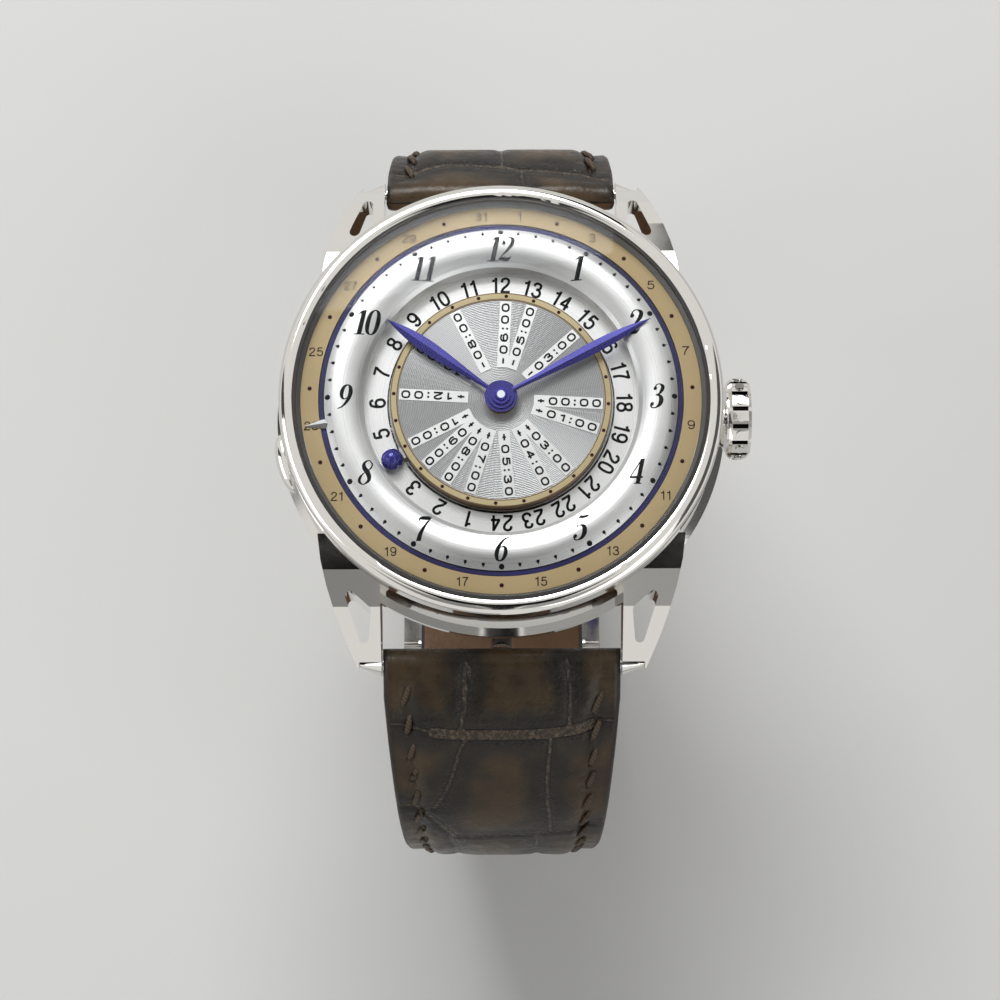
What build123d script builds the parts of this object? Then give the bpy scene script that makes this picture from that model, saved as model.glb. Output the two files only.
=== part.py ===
from build123d import *
from math import asin, atan2, cos, degrees, hypot, pi, radians, sin, sqrt
import os

os.makedirs("parts", exist_ok=True)

# World time watch on a closed leather strap. Millimetres.
# The origin is the centre of the case back's flat outer face, +Z leaves the dial,
# +Y points to twelve o'clock and +X to the crown.

# Clearances and small shared sizes
run_gap = 0.05
seat_gap = 0.02
trim_gap = 0.1
cut_over = 1.0
soft_gap = 0.3

# Case back
back_face_r = 17.0
back_ring_r = 18.2
back_ring_h = 1.6
back_bevel_h = 0.9
window_r = 13.6
glass_ledge_w = 0.8
glass_ledge_h = 0.5
back_glass_h = 1.05
back_screw_circle_r = 16.1
back_screw_count = 6
back_screw_length = 3.2
screw_shank_r = 0.4
screw_head_r = 0.75
screw_head_h = 0.4
screw_slot_w = 0.22
screw_slot_h = 0.15

# Middle case, from the skirt on the back ring up to the bezel seat
skirt_r = 18.9
flange_r = 20.95
flange_z = 4.1
flange_h = 0.8
flange_step_h = 0.25
groove_r = 20.2
waist_r = 19.3
waist_z = 7.4
case_top_r = 19.7
case_top_z = 10.1
case_bore_r = 15.6
dial_seat_z = 9.0
dial_bore_r = 17.7

# Bezel, inner flange ring, crystal and its gasket
bezel_r = 20.25
bezel_foot_h = 0.35
bezel_wall_h = 1.6
bezel_top_z = 12.45
bezel_lip_r = 18.97
bezel_ledge_z = 11.1
bezel_crown_share = 0.62
inner_flange_r = 18.32
inner_flange_low_h = 0.4
inner_flange_h = 0.9
crystal_r = 18.65
crystal_edge_z = 12.1
crystal_edge_h = 0.85
crystal_dome_h = 1.25
crystal_glass_t = 0.9
gasket_h = 0.55

# Dial stack
dial_plate_h = 0.4
hours24_in_r = 10.45
hours24_h = 0.22
hour_ring_in_r = 12.56
hour_ring_r = 16.13
hour_ring_edge_z = 11.5
hour_ring_top_z = 11.87
hour_ring_lip_z = 11.25
hour_ring_shoulder_w = 0.35
pointer_ring_w = 0.42
pointer_ring_top_z = 11.35
date_ring_in_r = 16.66
date_ring_r = 18.28
date_ring_h = 0.4
date_wall_w = 0.85
world_disc_r = 9.46
world_rim_r = 10.14
world_disc_z = 10.2
world_disc_h = 0.75
world_rim_h = 0.84
zone_hours = [-10, -8, -6, -5, -3, 0, 1, 3, 4, 5.5, 7, 8, 9, 10, 12]
zone_zero_deg = 93.0
zone_step_deg = 15.0
plaque_length = 6.3
plaque_w = 1.05
plaque_h = 0.06
plaque_mid_r = 6.15
pointer_deg = 261.3
pointer_length = 1.85
pointer_root_w = 0.85
pointer_tip_w = 0.3
pointer_h = 0.24

# Day and night ball and its carrier
ball_r = 1.0
ball_track_r = 11.4
ball_z = 10.7
ball_deg = 240.6
ball_axle_r = 0.15
carrier_disc_r = 10.3
carrier_disc_h = 0.35
carrier_disc_z = 9.55
carrier_arm_w = 1.1
carrier_arm_rise = 0.3
carrier_window_share = 0.62
carrier_windows = 6

# Hands. Angles are clockwise from twelve o'clock.
minute_deg = 61.9
hour_deg = 305.2
minute_reach = 15.5
hour_reach = 12.7
hand_t = 0.12
hour_hand_z = 11.85
minute_hand_z = 12.05
minute_hand_w = 1.15
hour_hand_w = 1.3
hand_neck_w = 0.42
hand_hub_r = 1.5
minute_hub_r = 1.2
hand_belly_share = 0.62
hub_cap_r = 0.85
hub_cap_h = 0.45

# Central arbors, tube inside tube
arbor_r = 0.28
cannon_r = 0.55
hour_pipe_in_r = 0.62
hour_pipe_r = 0.95
city_pipe_in_r = 1.03
city_pipe_r = 1.4
carrier_pipe_in_r = 1.5
carrier_pipe_r = 1.85
city_pipe_z = 7.65
carrier_pipe_z = 8.2

# Movement layers and wheels
movement_r = 14.6
casing_ring_z = 1.65
plate_z = 4.45
plate_h = 1.05
bridge_z = 2.1
bridge_h = 0.8
bridge_r = 14.2
bridge_seam = 0.25
pillar_r = 1.0
pillar_circle_r = 12.9
barrel_pillar_degs = [20.0, 75.0, 165.0]
train_pillar_degs = [-15.0, -60.0, -100.0]
cock_deg = 236.0
cock_w = 2.6
bridge_split_y = 0.9
balance_margin = 0.8
barrel_arbor_r = 0.45
jewel_r = 0.6
jewel_h = 0.3
pivot_r = 0.12
top_wheel_h = 0.3
top_wheel_gap = 0.04
module_plate_z = 6.95
module_plate_h = 0.55
wheel_t = 0.22
pinion_h = 0.55
tooth_tip_share = 0.17
tooth_root_share = 0.31
addendum_share = 0.9
dedendum_share = 1.15
going_module = 0.125
slim_module = 0.12
city_module = 0.14
barrel_drum_r = 5.4
module_posts = 3
escape_root_share = 0.8
escape_rake_share = 0.35
hairspring_steps_per_turn = 12
centre_pinion_teeth = 12
barrel_teeth = 96
centre_wheel_teeth = 80
third_pinion_teeth = 10
third_wheel_teeth = 75
fourth_pinion_teeth = 10
fourth_wheel_teeth = 48
escape_teeth = 15
escape_wheel_r = 2.1
motion_module = 0.15
cannon_teeth = 12
minute_wheel_teeth = 36
minute_pinion_teeth = 10
hour_wheel_teeth = 40
city_wheel_teeth = 72
ratchet_teeth = 54
crown_wheel_teeth = 34
winding_module = 0.2
barrel_deg = 120.0
third_deg = -60.0
minute_wheel_deg = 40.0
crown_wheel_deg = -20.0
barrel_drum_h = 0.7
barrel_z = 3.0
centre_wheel_z = 3.97
third_wheel_z = 3.1
fourth_x = -0.95
fourth_y = -6.35
escape_x = -4.05
escape_y = -7.8
pallet_x = -6.3
pallet_y = -6.2
balance_x = -8.6
balance_y = -3.6
balance_r = 3.2
balance_rim_w = 0.45
balance_h = 0.35
balance_z = 3.85
hairspring_r = 2.3
hairspring_in_r = 0.55
hairspring_turns = 5
hairspring_t = 0.09
hairspring_h = 0.2
hairspring_z = 3.35
pallet_length = 2.3
pallet_w = 0.4
pallet_t = 0.2
minute_post_r = 0.3

# Crown, its tube and the winding stem, all along +X
crown_z = 3.75
crown_r = 3.7
crown_in_x = 21.2
crown_length = 2.07
crown_flutes = 14
flute_w = 0.42
flute_h = 0.3
stud_r = 0.42
stud_rise = 0.16
crown_rim = 0.3
stem_r = 0.45
stem_in_x = 9.6
tube_r = 1.5
tube_out_x = 20.95
collar_r = 3.1
collar_t = 0.17
setting_collar_x = 12.9
setting_collar_w = 0.5
sliding_pinion_r = 0.66
sliding_pinion_x = 10.4
sliding_pinion_length = 1.7
crown_bore_depth = 1.1

# Corrector pusher at half past eight
pusher_deg = 255.6
pusher_z = 7.2
pusher_length = 5.6
pusher_h = 2.2
pusher_cap_t = 1.05
pusher_out_r = 21.35
pusher_stem_r = 0.5
pusher_stem_length = 4.6
pusher_spring_r = 0.85
pusher_wire_r = 0.12
pusher_spring_turns = 4
pusher_well_depth = 1.7

# Lugs and spring bars
lug_gap_w = 22.2
bar_y = 23.0
bar_z = 2.2
bar_r = 0.75
bar_tip_r = 0.4
bar_tip_length = 0.9
lug_end_y = 23.5
lug_root_y = 12.0
lug_root_z = 8.6
lug_width = 6.6
lug_inner_arm_w = 0.85
lug_fillet = 0.45
boss_r = 1.15
boss_tip_r = 0.3
boss_length = 2.05
boss_gap = 0.04

# Leather strap, seen from the side as a closed loop round the point between the bars
loop_r = 47.0
strap_side_gap = 0.1
strap_taper_w = 4.0
strap_w = lug_gap_w - 2 * strap_side_gap
strap_end_w = strap_w - strap_taper_w
strap_t = 3.4
strap_bar_t = 2.9
strap_tail_t = 2.4
strap_taper_length = 44.0
strap_full_length = 3.0
strap_swell_length = 9.0
strap_thin_length = 50.0
strap_station = 3.0
taper_power = 1.6
strap_end_r = 1.4
short_reach_y = 29.2
short_exit_deg = 40.0
short_exit_run = 4.0
short_corner_r = 13.0
long_reach_y = 37.5
long_exit_deg = 24.0
long_exit_run = 3.0
long_corner_r = 16.0
tail_step_from_deg = -16.0
tail_step_to_deg = 2.0
tail_step = 2.9
tail_end_deg = 27.0
tail_tip_length = 7.0
tip_end_share = 0.3
tip_stations = 6
holes_to_case = 4
holes_to_tip = 2
hole_pitch = 6.5
hole_length = 3.4
used_hole_length = 5.0
hole_w = 2.1
used_hole_deg = -2.2

# Pin buckle and strap keepers, placed by their angle on the loop
hinge_deg = 4.0
hinge_bar_r = 0.6
frame_side_gap = 0.35
frame_in_w = strap_end_w + 2 * frame_side_gap
frame_arm_w = 1.6
frame_arm_t = 2.3
front_bar_deg = -15.0
front_bar_r = 1.0
tongue_w = 1.6
tongue_t = 0.8
tongue_wrap_r = 1.25
tongue_rise_deg = 0.9
tongue_top_deg = -4.9
tongue_tip_deg = -16.4
tongue_slot_w = 2.4
tongue_slot_length = 4.2
keeper_w = 4.6
keeper_t = 1.0
keeper_round = 0.6
fixed_keeper_deg = 12.0
loose_keeper_deg = 20.5

# Places that follow from the sizes above
crystal_top_z = crystal_edge_z + crystal_edge_h + crystal_dome_h
dial_top_z = dial_seat_z + dial_plate_h
hours24_z = dial_top_z + hours24_h
world_top_z = world_disc_z + world_disc_h
lug_in_x = lug_gap_w / 2
centre_pitch_r = centre_pinion_teeth * going_module / 2
barrel_dist = centre_pitch_r + barrel_teeth * going_module / 2
third_dist = (centre_wheel_teeth + third_pinion_teeth) * going_module / 2
motion_dist = (cannon_teeth + minute_wheel_teeth) * motion_module / 2
hour_module = 2 * motion_dist / (minute_pinion_teeth + hour_wheel_teeth)
winding_dist = (ratchet_teeth + crown_wheel_teeth) * winding_module / 2


def save(part, name):
    part.label = name
    export_step(part, f"parts/{name}.step")


def clock(deg, r):
    """Place at radius r, deg clockwise from twelve o'clock."""
    return (r * sin(radians(deg)), r * cos(radians(deg)))


def at(deg, r):
    return (r * cos(radians(deg)), r * sin(radians(deg)))


def gear_points(teeth, module, phase_deg):
    """Outline of a spur gear with one tooth centred on phase_deg."""
    pitch_r = teeth * module / 2
    tip_r = pitch_r + module * addendum_share
    root_r = pitch_r - module * dedendum_share
    step = 360 / teeth
    points = []
    for tooth in range(teeth):
        mid = phase_deg + tooth * step
        points.append(at(mid - tooth_root_share * step, root_r))
        points.append(at(mid - tooth_tip_share * step, tip_r))
        points.append(at(mid + tooth_tip_share * step, tip_r))
        points.append(at(mid + tooth_root_share * step, root_r))
    return points


def loop_point(deg, r):
    """Point (y, z) on a circle round the middle of the two spring bars."""
    return (r * sin(radians(deg)), bar_z - r * cos(radians(deg)))


def ring_solid(in_r, out_r, low_z, high_z):
    with BuildPart() as ring:
        with BuildSketch(Plane.XY.offset(low_z)):
            Circle(out_r)
            Circle(in_r, mode=Mode.SUBTRACT)
        extrude(amount=high_z - low_z)
    return ring.part


def slotted_screws(places, head_z, head_side, shank_end_z):
    """Screws along Z whose heads start at head_z; head_side is -1 for a head below."""
    with BuildPart() as screws:
        with BuildSketch(Plane.XY.offset(head_z)):
            with Locations(*places):
                Circle(screw_head_r)
        extrude(amount=head_side * screw_head_h)
        with BuildSketch(Plane.XY.offset(head_z + head_side * screw_head_h)):
            with Locations(*places):
                Rectangle(2 * screw_head_r + cut_over, screw_slot_w)
        extrude(amount=-head_side * screw_slot_h, mode=Mode.SUBTRACT)
        with BuildSketch(Plane.XY.offset(head_z)):
            with Locations(*places):
                Circle(screw_shank_r)
        extrude(amount=shank_end_z - head_z)
    return screws.part


# Case back ring: the watch lies on its flat face
glass_seat_r = window_r + glass_ledge_w
back_screw_places = [at(360 * i / back_screw_count, back_screw_circle_r)
                     for i in range(back_screw_count)]
with BuildPart() as case_back_ring:
    with BuildSketch(Plane.XZ):
        with BuildLine():
            Polyline(
                (window_r, 0),
                (back_face_r, 0),
                (back_ring_r, back_bevel_h),
                (back_ring_r, back_ring_h),
                (glass_seat_r, back_ring_h),
                (glass_seat_r, glass_ledge_h),
                (window_r, glass_ledge_h),
                close=True,
            )
        make_face()
    revolve(axis=Axis.Z)
    with BuildSketch():
        with Locations(*back_screw_places):
            Circle(screw_head_r + run_gap)
    extrude(amount=screw_head_h + run_gap, mode=Mode.SUBTRACT)
    with BuildSketch():
        with Locations(*back_screw_places):
            Circle(screw_shank_r + run_gap)
    extrude(amount=back_ring_h, mode=Mode.SUBTRACT)
save(case_back_ring.part, "case_back_ring")

# Sapphire window in the back ring
with BuildPart() as case_back_crystal:
    with BuildSketch(Plane.XY.offset(glass_ledge_h)):
        Circle(glass_seat_r - seat_gap)
    extrude(amount=back_glass_h)
save(case_back_crystal.part, "case_back_crystal")

# Screws of the case back, heads sunk in their seats
save(
    slotted_screws(back_screw_places, screw_head_h + run_gap, -1, back_screw_length),
    "case_back_screws",
)


def case_outline():
    """Outer outline of the middle case, from its foot to the bezel seat."""
    groove_z = flange_z + flange_h + flange_step_h
    Line((skirt_r, back_ring_h), (flange_r, flange_z))
    Line((flange_r, flange_z), (flange_r, flange_z + flange_h))
    Line((flange_r, flange_z + flange_h), (groove_r, groove_z))
    ThreePointArc((groove_r, groove_z), (waist_r, waist_z), (case_top_r, case_top_z))


# Middle case: skirt, rim with a sharp edge, drawn-in waist
pusher_dir = clock(pusher_deg, 1)
pusher_plane = Plane(
    origin=(0, 0, pusher_z),
    x_dir=(-pusher_dir[1], pusher_dir[0], 0),
    z_dir=(pusher_dir[0], pusher_dir[1], 0),
)
with BuildPart() as middle_case:
    with BuildSketch(Plane.XZ):
        with BuildLine():
            case_outline()
            Polyline(
                (case_top_r, case_top_z),
                (dial_bore_r, case_top_z),
                (dial_bore_r, dial_seat_z),
                (case_bore_r, dial_seat_z),
                (case_bore_r, back_ring_h),
                (skirt_r, back_ring_h),
            )
        make_face()
    revolve(axis=Axis.Z)
    with BuildSketch(Plane.XY.offset(back_ring_h)):
        with Locations(*back_screw_places):
            Circle(screw_shank_r + seat_gap)
    extrude(amount=back_screw_length - back_ring_h + trim_gap, mode=Mode.SUBTRACT)
    with BuildSketch(Plane.YZ.offset(waist_r)):
        with Locations((0, crown_z)):
            Circle(tube_r)
    extrude(amount=tube_out_x - waist_r)
    with BuildSketch(Plane.YZ.offset(case_bore_r - cut_over)):
        with Locations((0, crown_z)):
            Circle(stem_r + run_gap)
    extrude(amount=flange_r - case_bore_r + 2 * cut_over, mode=Mode.SUBTRACT)
    with BuildSketch(pusher_plane.offset(case_bore_r - cut_over)):
        Circle(pusher_stem_r + run_gap)
    extrude(amount=flange_r - case_bore_r + 2 * cut_over, mode=Mode.SUBTRACT)
    with BuildSketch(pusher_plane.offset(waist_r - pusher_well_depth)):
        Circle(pusher_spring_r + pusher_wire_r + run_gap)
    extrude(amount=pusher_well_depth + cut_over, mode=Mode.SUBTRACT)
save(middle_case.part, "middle_case")


# Lugs: four open-worked arms that drop from the case to the spring bars
def lug_side_points():
    """Side outline (y, z) of a lug: a falling top and a hollow underside."""
    fall = lug_root_z - bar_z
    reach = lug_end_y - lug_root_y
    top_shares = [(0.0, 1.0), (0.28, 0.9), (0.56, 0.7), (0.8, 0.43), (0.93, 0.24), (1.0, 0.1)]
    low_shares = [(0.97, -0.1), (0.86, -0.19), (0.66, -0.12), (0.42, 0.12), (0.2, 0.36), (0.0, 0.5)]
    return [(lug_root_y + y * reach, bar_z + z * fall) for y, z in top_shares + low_shares]


def lug_plan_points():
    """Plan outline (x, y) of a lug between its straight inner face and curved outer edge."""
    reach = lug_end_y - lug_root_y
    outer_shares = [(0.86, 0.0), (0.82, 0.2), (0.74, 0.4), (0.62, 0.62), (0.5, 0.8), (0.34, 1.0)]
    outer = [(lug_in_x + x * lug_width, lug_root_y + y * reach) for x, y in outer_shares]
    return [(lug_in_x, lug_root_y)] + outer + [(lug_in_x, lug_end_y)]


def lug_window_points():
    """Three corners (x, y) of the opening through a lug."""
    reach = lug_end_y - lug_root_y
    width = lug_width - lug_inner_arm_w
    corner_shares = [(0.0, 0.57), (0.49, 0.36), (0.08, 0.97)]
    return [
        (lug_in_x + lug_inner_arm_w + x * width, lug_root_y + y * reach) for x, y in corner_shares
    ]


with BuildPart() as lug_arm:
    with BuildSketch(Plane.YZ.offset(lug_in_x)):
        with BuildLine():
            Polyline(*lug_side_points(), close=True)
        make_face()
    extrude(amount=lug_width)
    with BuildSketch():
        with BuildLine():
            Polyline(*lug_plan_points(), close=True)
        make_face()
    extrude(amount=case_top_z, mode=Mode.INTERSECT)
    with BuildSketch():
        with BuildLine():
            Polyline(*lug_window_points(), close=True)
        make_face()
        fillet(vertices(), lug_fillet)
    extrude(amount=case_top_z, mode=Mode.SUBTRACT)
    with BuildSketch(Plane.XZ):
        with BuildLine():
            case_outline()
            Polyline(
                (case_top_r, case_top_z),
                (0, case_top_z),
                (0, back_ring_h),
                (skirt_r, back_ring_h),
            )
        make_face()
    revolve(axis=Axis.Z, mode=Mode.SUBTRACT)
    with BuildSketch(Plane.YZ.offset(lug_in_x - cut_over)):
        with Locations((bar_y, bar_z)):
            Circle(boss_r + boss_gap)
    extrude(amount=boss_length + cut_over + boss_gap, mode=Mode.SUBTRACT)
lug_solid = lug_arm.part.solids().sort_by(SortBy.VOLUME)[-1]
with BuildPart() as lugs:
    add(lug_solid)
    mirror(about=Plane.YZ)
    mirror(about=Plane.XZ)
save(lugs.part, "lugs")

# Tapered bosses at the lug ends, which take the tips of the spring bars
with BuildPart() as lug_bosses:
    for side_y in (bar_y, -bar_y):
        with BuildSketch(Plane.YZ.offset(lug_in_x), mode=Mode.PRIVATE) as wide_end:
            with Locations((side_y, bar_z)):
                Circle(boss_r)
        with BuildSketch(Plane.YZ.offset(lug_in_x + boss_length), mode=Mode.PRIVATE) as slim_end:
            with Locations((side_y, bar_z)):
                Circle(boss_tip_r)
        loft(sections=[wide_end.sketch, slim_end.sketch])
    with BuildSketch(Plane.YZ.offset(lug_in_x)):
        with Locations((bar_y, bar_z), (-bar_y, bar_z)):
            Circle(bar_tip_r + seat_gap)
    extrude(amount=bar_tip_length + trim_gap, mode=Mode.SUBTRACT)
    mirror(about=Plane.YZ)
save(lug_bosses.part, "lug_bosses")

# Spring bars, their thin tips held in the bosses
bar_half = lug_in_x - trim_gap
with BuildPart() as spring_bars:
    with BuildSketch(Plane.YZ.offset(-bar_half)):
        with Locations((bar_y, bar_z), (-bar_y, bar_z)):
            Circle(bar_r)
    extrude(amount=2 * bar_half)
    with BuildSketch(Plane.YZ.offset(-bar_half - bar_tip_length)):
        with Locations((bar_y, bar_z), (-bar_y, bar_z)):
            Circle(bar_tip_r)
    extrude(amount=2 * (bar_half + bar_tip_length))
save(spring_bars.part, "spring_bars")

# Bezel: polished band with a rounded shoulder, seated on the middle case
bezel_wall_z = case_top_z + bezel_foot_h + bezel_wall_h
shoulder_r = bezel_lip_r + bezel_crown_share * (bezel_r - bezel_lip_r)
shoulder_z = bezel_wall_z + bezel_crown_share * (bezel_top_z - bezel_wall_z) + bezel_foot_h / 2
with BuildPart() as bezel:
    with BuildSketch(Plane.XZ):
        with BuildLine():
            Polyline(
                (bezel_lip_r, bezel_top_z),
                (bezel_lip_r, bezel_ledge_z),
                (dial_bore_r, bezel_ledge_z),
                (dial_bore_r, case_top_z),
                (case_top_r, case_top_z),
                (bezel_r, case_top_z + bezel_foot_h),
                (bezel_r, bezel_wall_z),
            )
            ThreePointArc((bezel_r, bezel_wall_z), (shoulder_r, shoulder_z), (bezel_lip_r, bezel_top_z))
        make_face()
    revolve(axis=Axis.Z)
save(bezel.part, "bezel")

# Sloping ring between the crystal and the date ring
flange_ring_out_r = bezel_lip_r - seat_gap
with BuildPart() as inner_flange:
    with BuildSketch(Plane.XZ):
        with BuildLine():
            Polyline(
                (inner_flange_r, bezel_ledge_z),
                (flange_ring_out_r, bezel_ledge_z),
                (flange_ring_out_r, bezel_ledge_z + inner_flange_h),
                (inner_flange_r, bezel_ledge_z + inner_flange_low_h),
                close=True,
            )
        make_face()
    revolve(axis=Axis.Z)
save(inner_flange.part, "inner_flange")

# Domed crystal and the gasket round its edge
edge_top_z = crystal_edge_z + crystal_edge_h
under_top_z = crystal_top_z - crystal_glass_t
under_r = crystal_r - (bezel_lip_r - crystal_r)


def dome_mid(r, low_z, top_z):
    """Point halfway along the arc from the rim at low_z to the middle at top_z."""
    rise = top_z - low_z
    sphere_r = (r * r + rise * rise) / (2 * rise)
    half_r = r / 2
    return (half_r, top_z - sphere_r + sqrt(sphere_r * sphere_r - half_r * half_r))


with BuildPart() as crystal:
    with BuildSketch(Plane.XZ):
        with BuildLine():
            Line((0, under_top_z), (0, crystal_top_z))
            ThreePointArc(
                (0, crystal_top_z),
                dome_mid(crystal_r, edge_top_z, crystal_top_z),
                (crystal_r, edge_top_z),
            )
            Polyline(
                (crystal_r, edge_top_z),
                (crystal_r, crystal_edge_z),
                (under_r, crystal_edge_z),
            )
            ThreePointArc(
                (under_r, crystal_edge_z),
                dome_mid(under_r, crystal_edge_z, under_top_z),
                (0, under_top_z),
            )
        make_face()
    revolve(axis=Axis.Z)
save(crystal.part, "crystal")

save(
    ring_solid(
        crystal_r + seat_gap,
        bezel_lip_r - seat_gap,
        crystal_edge_z - trim_gap,
        crystal_edge_z - trim_gap + gasket_h,
    ),
    "crystal_gasket",
)

# Dial plate with the wall that carries the date ring
with BuildPart() as dial_plate:
    with BuildSketch(Plane.XY.offset(dial_seat_z)):
        Circle(dial_bore_r - run_gap)
        Circle(hours24_in_r, mode=Mode.SUBTRACT)
    extrude(amount=dial_plate_h)
    with BuildSketch(Plane.XY.offset(dial_top_z)):
        Circle(dial_bore_r - run_gap)
        Circle(dial_bore_r - run_gap - date_wall_w, mode=Mode.SUBTRACT)
    extrude(amount=bezel_ledge_z - dial_top_z)
save(dial_plate.part, "dial_plate")

save(ring_solid(hours24_in_r, hour_ring_in_r, dial_top_z, hours24_z), "hours24_ring")

# Hour ring: silvered and domed, with a rounded inner lip
shoulder_in_r = hour_ring_in_r + hour_ring_shoulder_w
ring_mid_r = (hour_ring_r + shoulder_in_r) / 2
with BuildPart() as hour_ring:
    with BuildSketch(Plane.XZ):
        with BuildLine():
            ThreePointArc(
                (hour_ring_r, hour_ring_edge_z),
                (ring_mid_r, hour_ring_top_z),
                (shoulder_in_r, hour_ring_edge_z),
            )
            Polyline(
                (shoulder_in_r, hour_ring_edge_z),
                (hour_ring_in_r, hour_ring_lip_z),
                (hour_ring_in_r, dial_top_z),
                (hour_ring_r, dial_top_z),
                (hour_ring_r, hour_ring_edge_z),
            )
        make_face()
    revolve(axis=Axis.Z)
save(hour_ring.part, "hour_ring")

save(
    ring_solid(date_ring_in_r, date_ring_r, bezel_ledge_z, bezel_ledge_z + date_ring_h),
    "date_ring",
)

# Blued ring that runs in the groove between the hour ring and the date ring
pointer_ring_in_r = hour_ring_r + run_gap
pointer_ring_r = pointer_ring_in_r + pointer_ring_w
save(
    ring_solid(pointer_ring_in_r, pointer_ring_r, dial_top_z + run_gap, pointer_ring_top_z),
    "date_pointer_ring",
)

# Wedge on the blued ring that points at the date
pointer_z = bezel_ledge_z + date_ring_h + run_gap
pointer_end = clock(pointer_deg, 1)
pointer_plane = Plane(
    origin=(0, 0, pointer_ring_top_z),
    x_dir=(pointer_end[0], pointer_end[1], 0),
    z_dir=(0, 0, 1),
)
with BuildPart() as date_pointer:
    with BuildSketch(pointer_plane):
        with BuildLine():
            Polyline(
                (pointer_ring_in_r, pointer_root_w / 2),
                (pointer_ring_r, pointer_root_w / 2),
                (pointer_ring_r, -pointer_root_w / 2),
                (pointer_ring_in_r, -pointer_root_w / 2),
                close=True,
            )
        make_face()
    extrude(amount=pointer_z - pointer_ring_top_z)
    with BuildSketch(pointer_plane.offset(pointer_z - pointer_ring_top_z)):
        with BuildLine():
            Polyline(
                (pointer_ring_in_r, pointer_root_w / 2),
                (pointer_ring_in_r + pointer_length, pointer_tip_w / 2),
                (pointer_ring_in_r + pointer_length, -pointer_tip_w / 2),
                (pointer_ring_in_r, -pointer_root_w / 2),
                close=True,
            )
        make_face()
    extrude(amount=pointer_h)
save(date_pointer.part, "date_pointer")

# Turning time zone disc with its beige rim and raised plaques
save(
    ring_solid(city_pipe_r, world_disc_r, world_disc_z, world_top_z),
    "zone_disc",
)
save(
    ring_solid(world_disc_r, world_rim_r, world_disc_z, world_disc_z + world_rim_h),
    "zone_rim",
)
with BuildPart() as zone_plaques:
    with BuildSketch(Plane.XY.offset(world_top_z)):
        for hour in zone_hours:
            zone_deg = 90 - zone_zero_deg - zone_step_deg * hour
            with PolarLocations(plaque_mid_r, 1, start_angle=zone_deg):
                Rectangle(plaque_length, plaque_w)
    extrude(amount=plaque_h)
save(zone_plaques.part, "zone_plaques")

# Ball carrier: a windowed disc under the zone disc, with an arm and a radial axle
ball_dir = clock(ball_deg, 1)
radial_plane = Plane(
    origin=(0, 0, ball_z),
    x_dir=(-ball_dir[1], ball_dir[0], 0),
    z_dir=(ball_dir[0], ball_dir[1], 0),
)
carrier_top_z = carrier_disc_z + carrier_disc_h
arm_out_r = hours24_in_r - run_gap
arm_in_r = world_rim_r + run_gap
window_mid_r = (carrier_disc_r + carrier_pipe_r) / 2
window_hole_r = (carrier_disc_r - carrier_pipe_r) / 2 * carrier_window_share
window_first_deg = 90 - ball_deg + 180 / carrier_windows
with BuildPart() as ball_carrier:
    with BuildSketch(Plane.XY.offset(carrier_disc_z)):
        Circle(carrier_disc_r)
        Circle(carrier_pipe_in_r, mode=Mode.SUBTRACT)
        with PolarLocations(window_mid_r, carrier_windows, start_angle=window_first_deg):
            Circle(window_hole_r, mode=Mode.SUBTRACT)
    extrude(amount=carrier_disc_h)
    with BuildSketch(Plane.XY.offset(carrier_pipe_z)):
        Circle(carrier_pipe_r)
        Circle(carrier_pipe_in_r, mode=Mode.SUBTRACT)
    extrude(amount=carrier_top_z - carrier_pipe_z)
    with BuildSketch(radial_plane.offset(arm_in_r)):
        with Locations((0, (carrier_disc_z + carrier_arm_rise - ball_z) / 2)):
            Rectangle(carrier_arm_w, ball_z + carrier_arm_rise - carrier_disc_z)
    extrude(amount=arm_out_r - arm_in_r)
    with BuildSketch(radial_plane.offset(arm_in_r)):
        Circle(ball_axle_r)
    extrude(amount=ball_track_r - arm_in_r)
save(ball_carrier.part, "ball_carrier")


def half_ball(upper):
    """Half of the ball on one side of the level plane through its axle."""
    with BuildPart() as half:
        with Locations((ball_dir[0] * ball_track_r, ball_dir[1] * ball_track_r, ball_z)):
            Sphere(ball_r)
        with BuildSketch(radial_plane.offset(ball_track_r - ball_r - cut_over)):
            Circle(ball_axle_r + run_gap)
        extrude(amount=ball_r + cut_over + run_gap, mode=Mode.SUBTRACT)
        split(bisect_by=Plane.XY.offset(ball_z), keep=Keep.TOP if upper else Keep.BOTTOM)
    return half.part


save(half_ball(True), "ball_night_half")
save(half_ball(False), "ball_day_half")


def hand(deg, reach, belly_w, low_z, hub_out_r, bore_r):
    """Leaf hand: a narrow neck, widest past its middle, then a long point."""
    direction = clock(deg, 1)
    plane = Plane(
        origin=(0, 0, low_z),
        x_dir=(direction[0], direction[1], 0),
        z_dir=(0, 0, 1),
    )
    belly_x = reach * hand_belly_share
    with BuildPart() as blade:
        with BuildSketch(plane):
            with BuildLine():
                Spline(
                    (0, hand_neck_w / 2),
                    (hub_out_r + hand_neck_w, hand_neck_w / 2),
                    (belly_x, belly_w / 2),
                    tangents=((1, 0), (1, 0)),
                )
                Line((belly_x, belly_w / 2), (reach, 0))
                Line((reach, 0), (belly_x, -belly_w / 2))
                Spline(
                    (belly_x, -belly_w / 2),
                    (hub_out_r + hand_neck_w, -hand_neck_w / 2),
                    (0, -hand_neck_w / 2),
                    tangents=((-1, 0), (-1, 0)),
                )
                Line((0, -hand_neck_w / 2), (0, hand_neck_w / 2))
            make_face()
            Circle(hub_out_r)
            Circle(bore_r, mode=Mode.SUBTRACT)
        extrude(amount=hand_t)
    return blade.part


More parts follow.
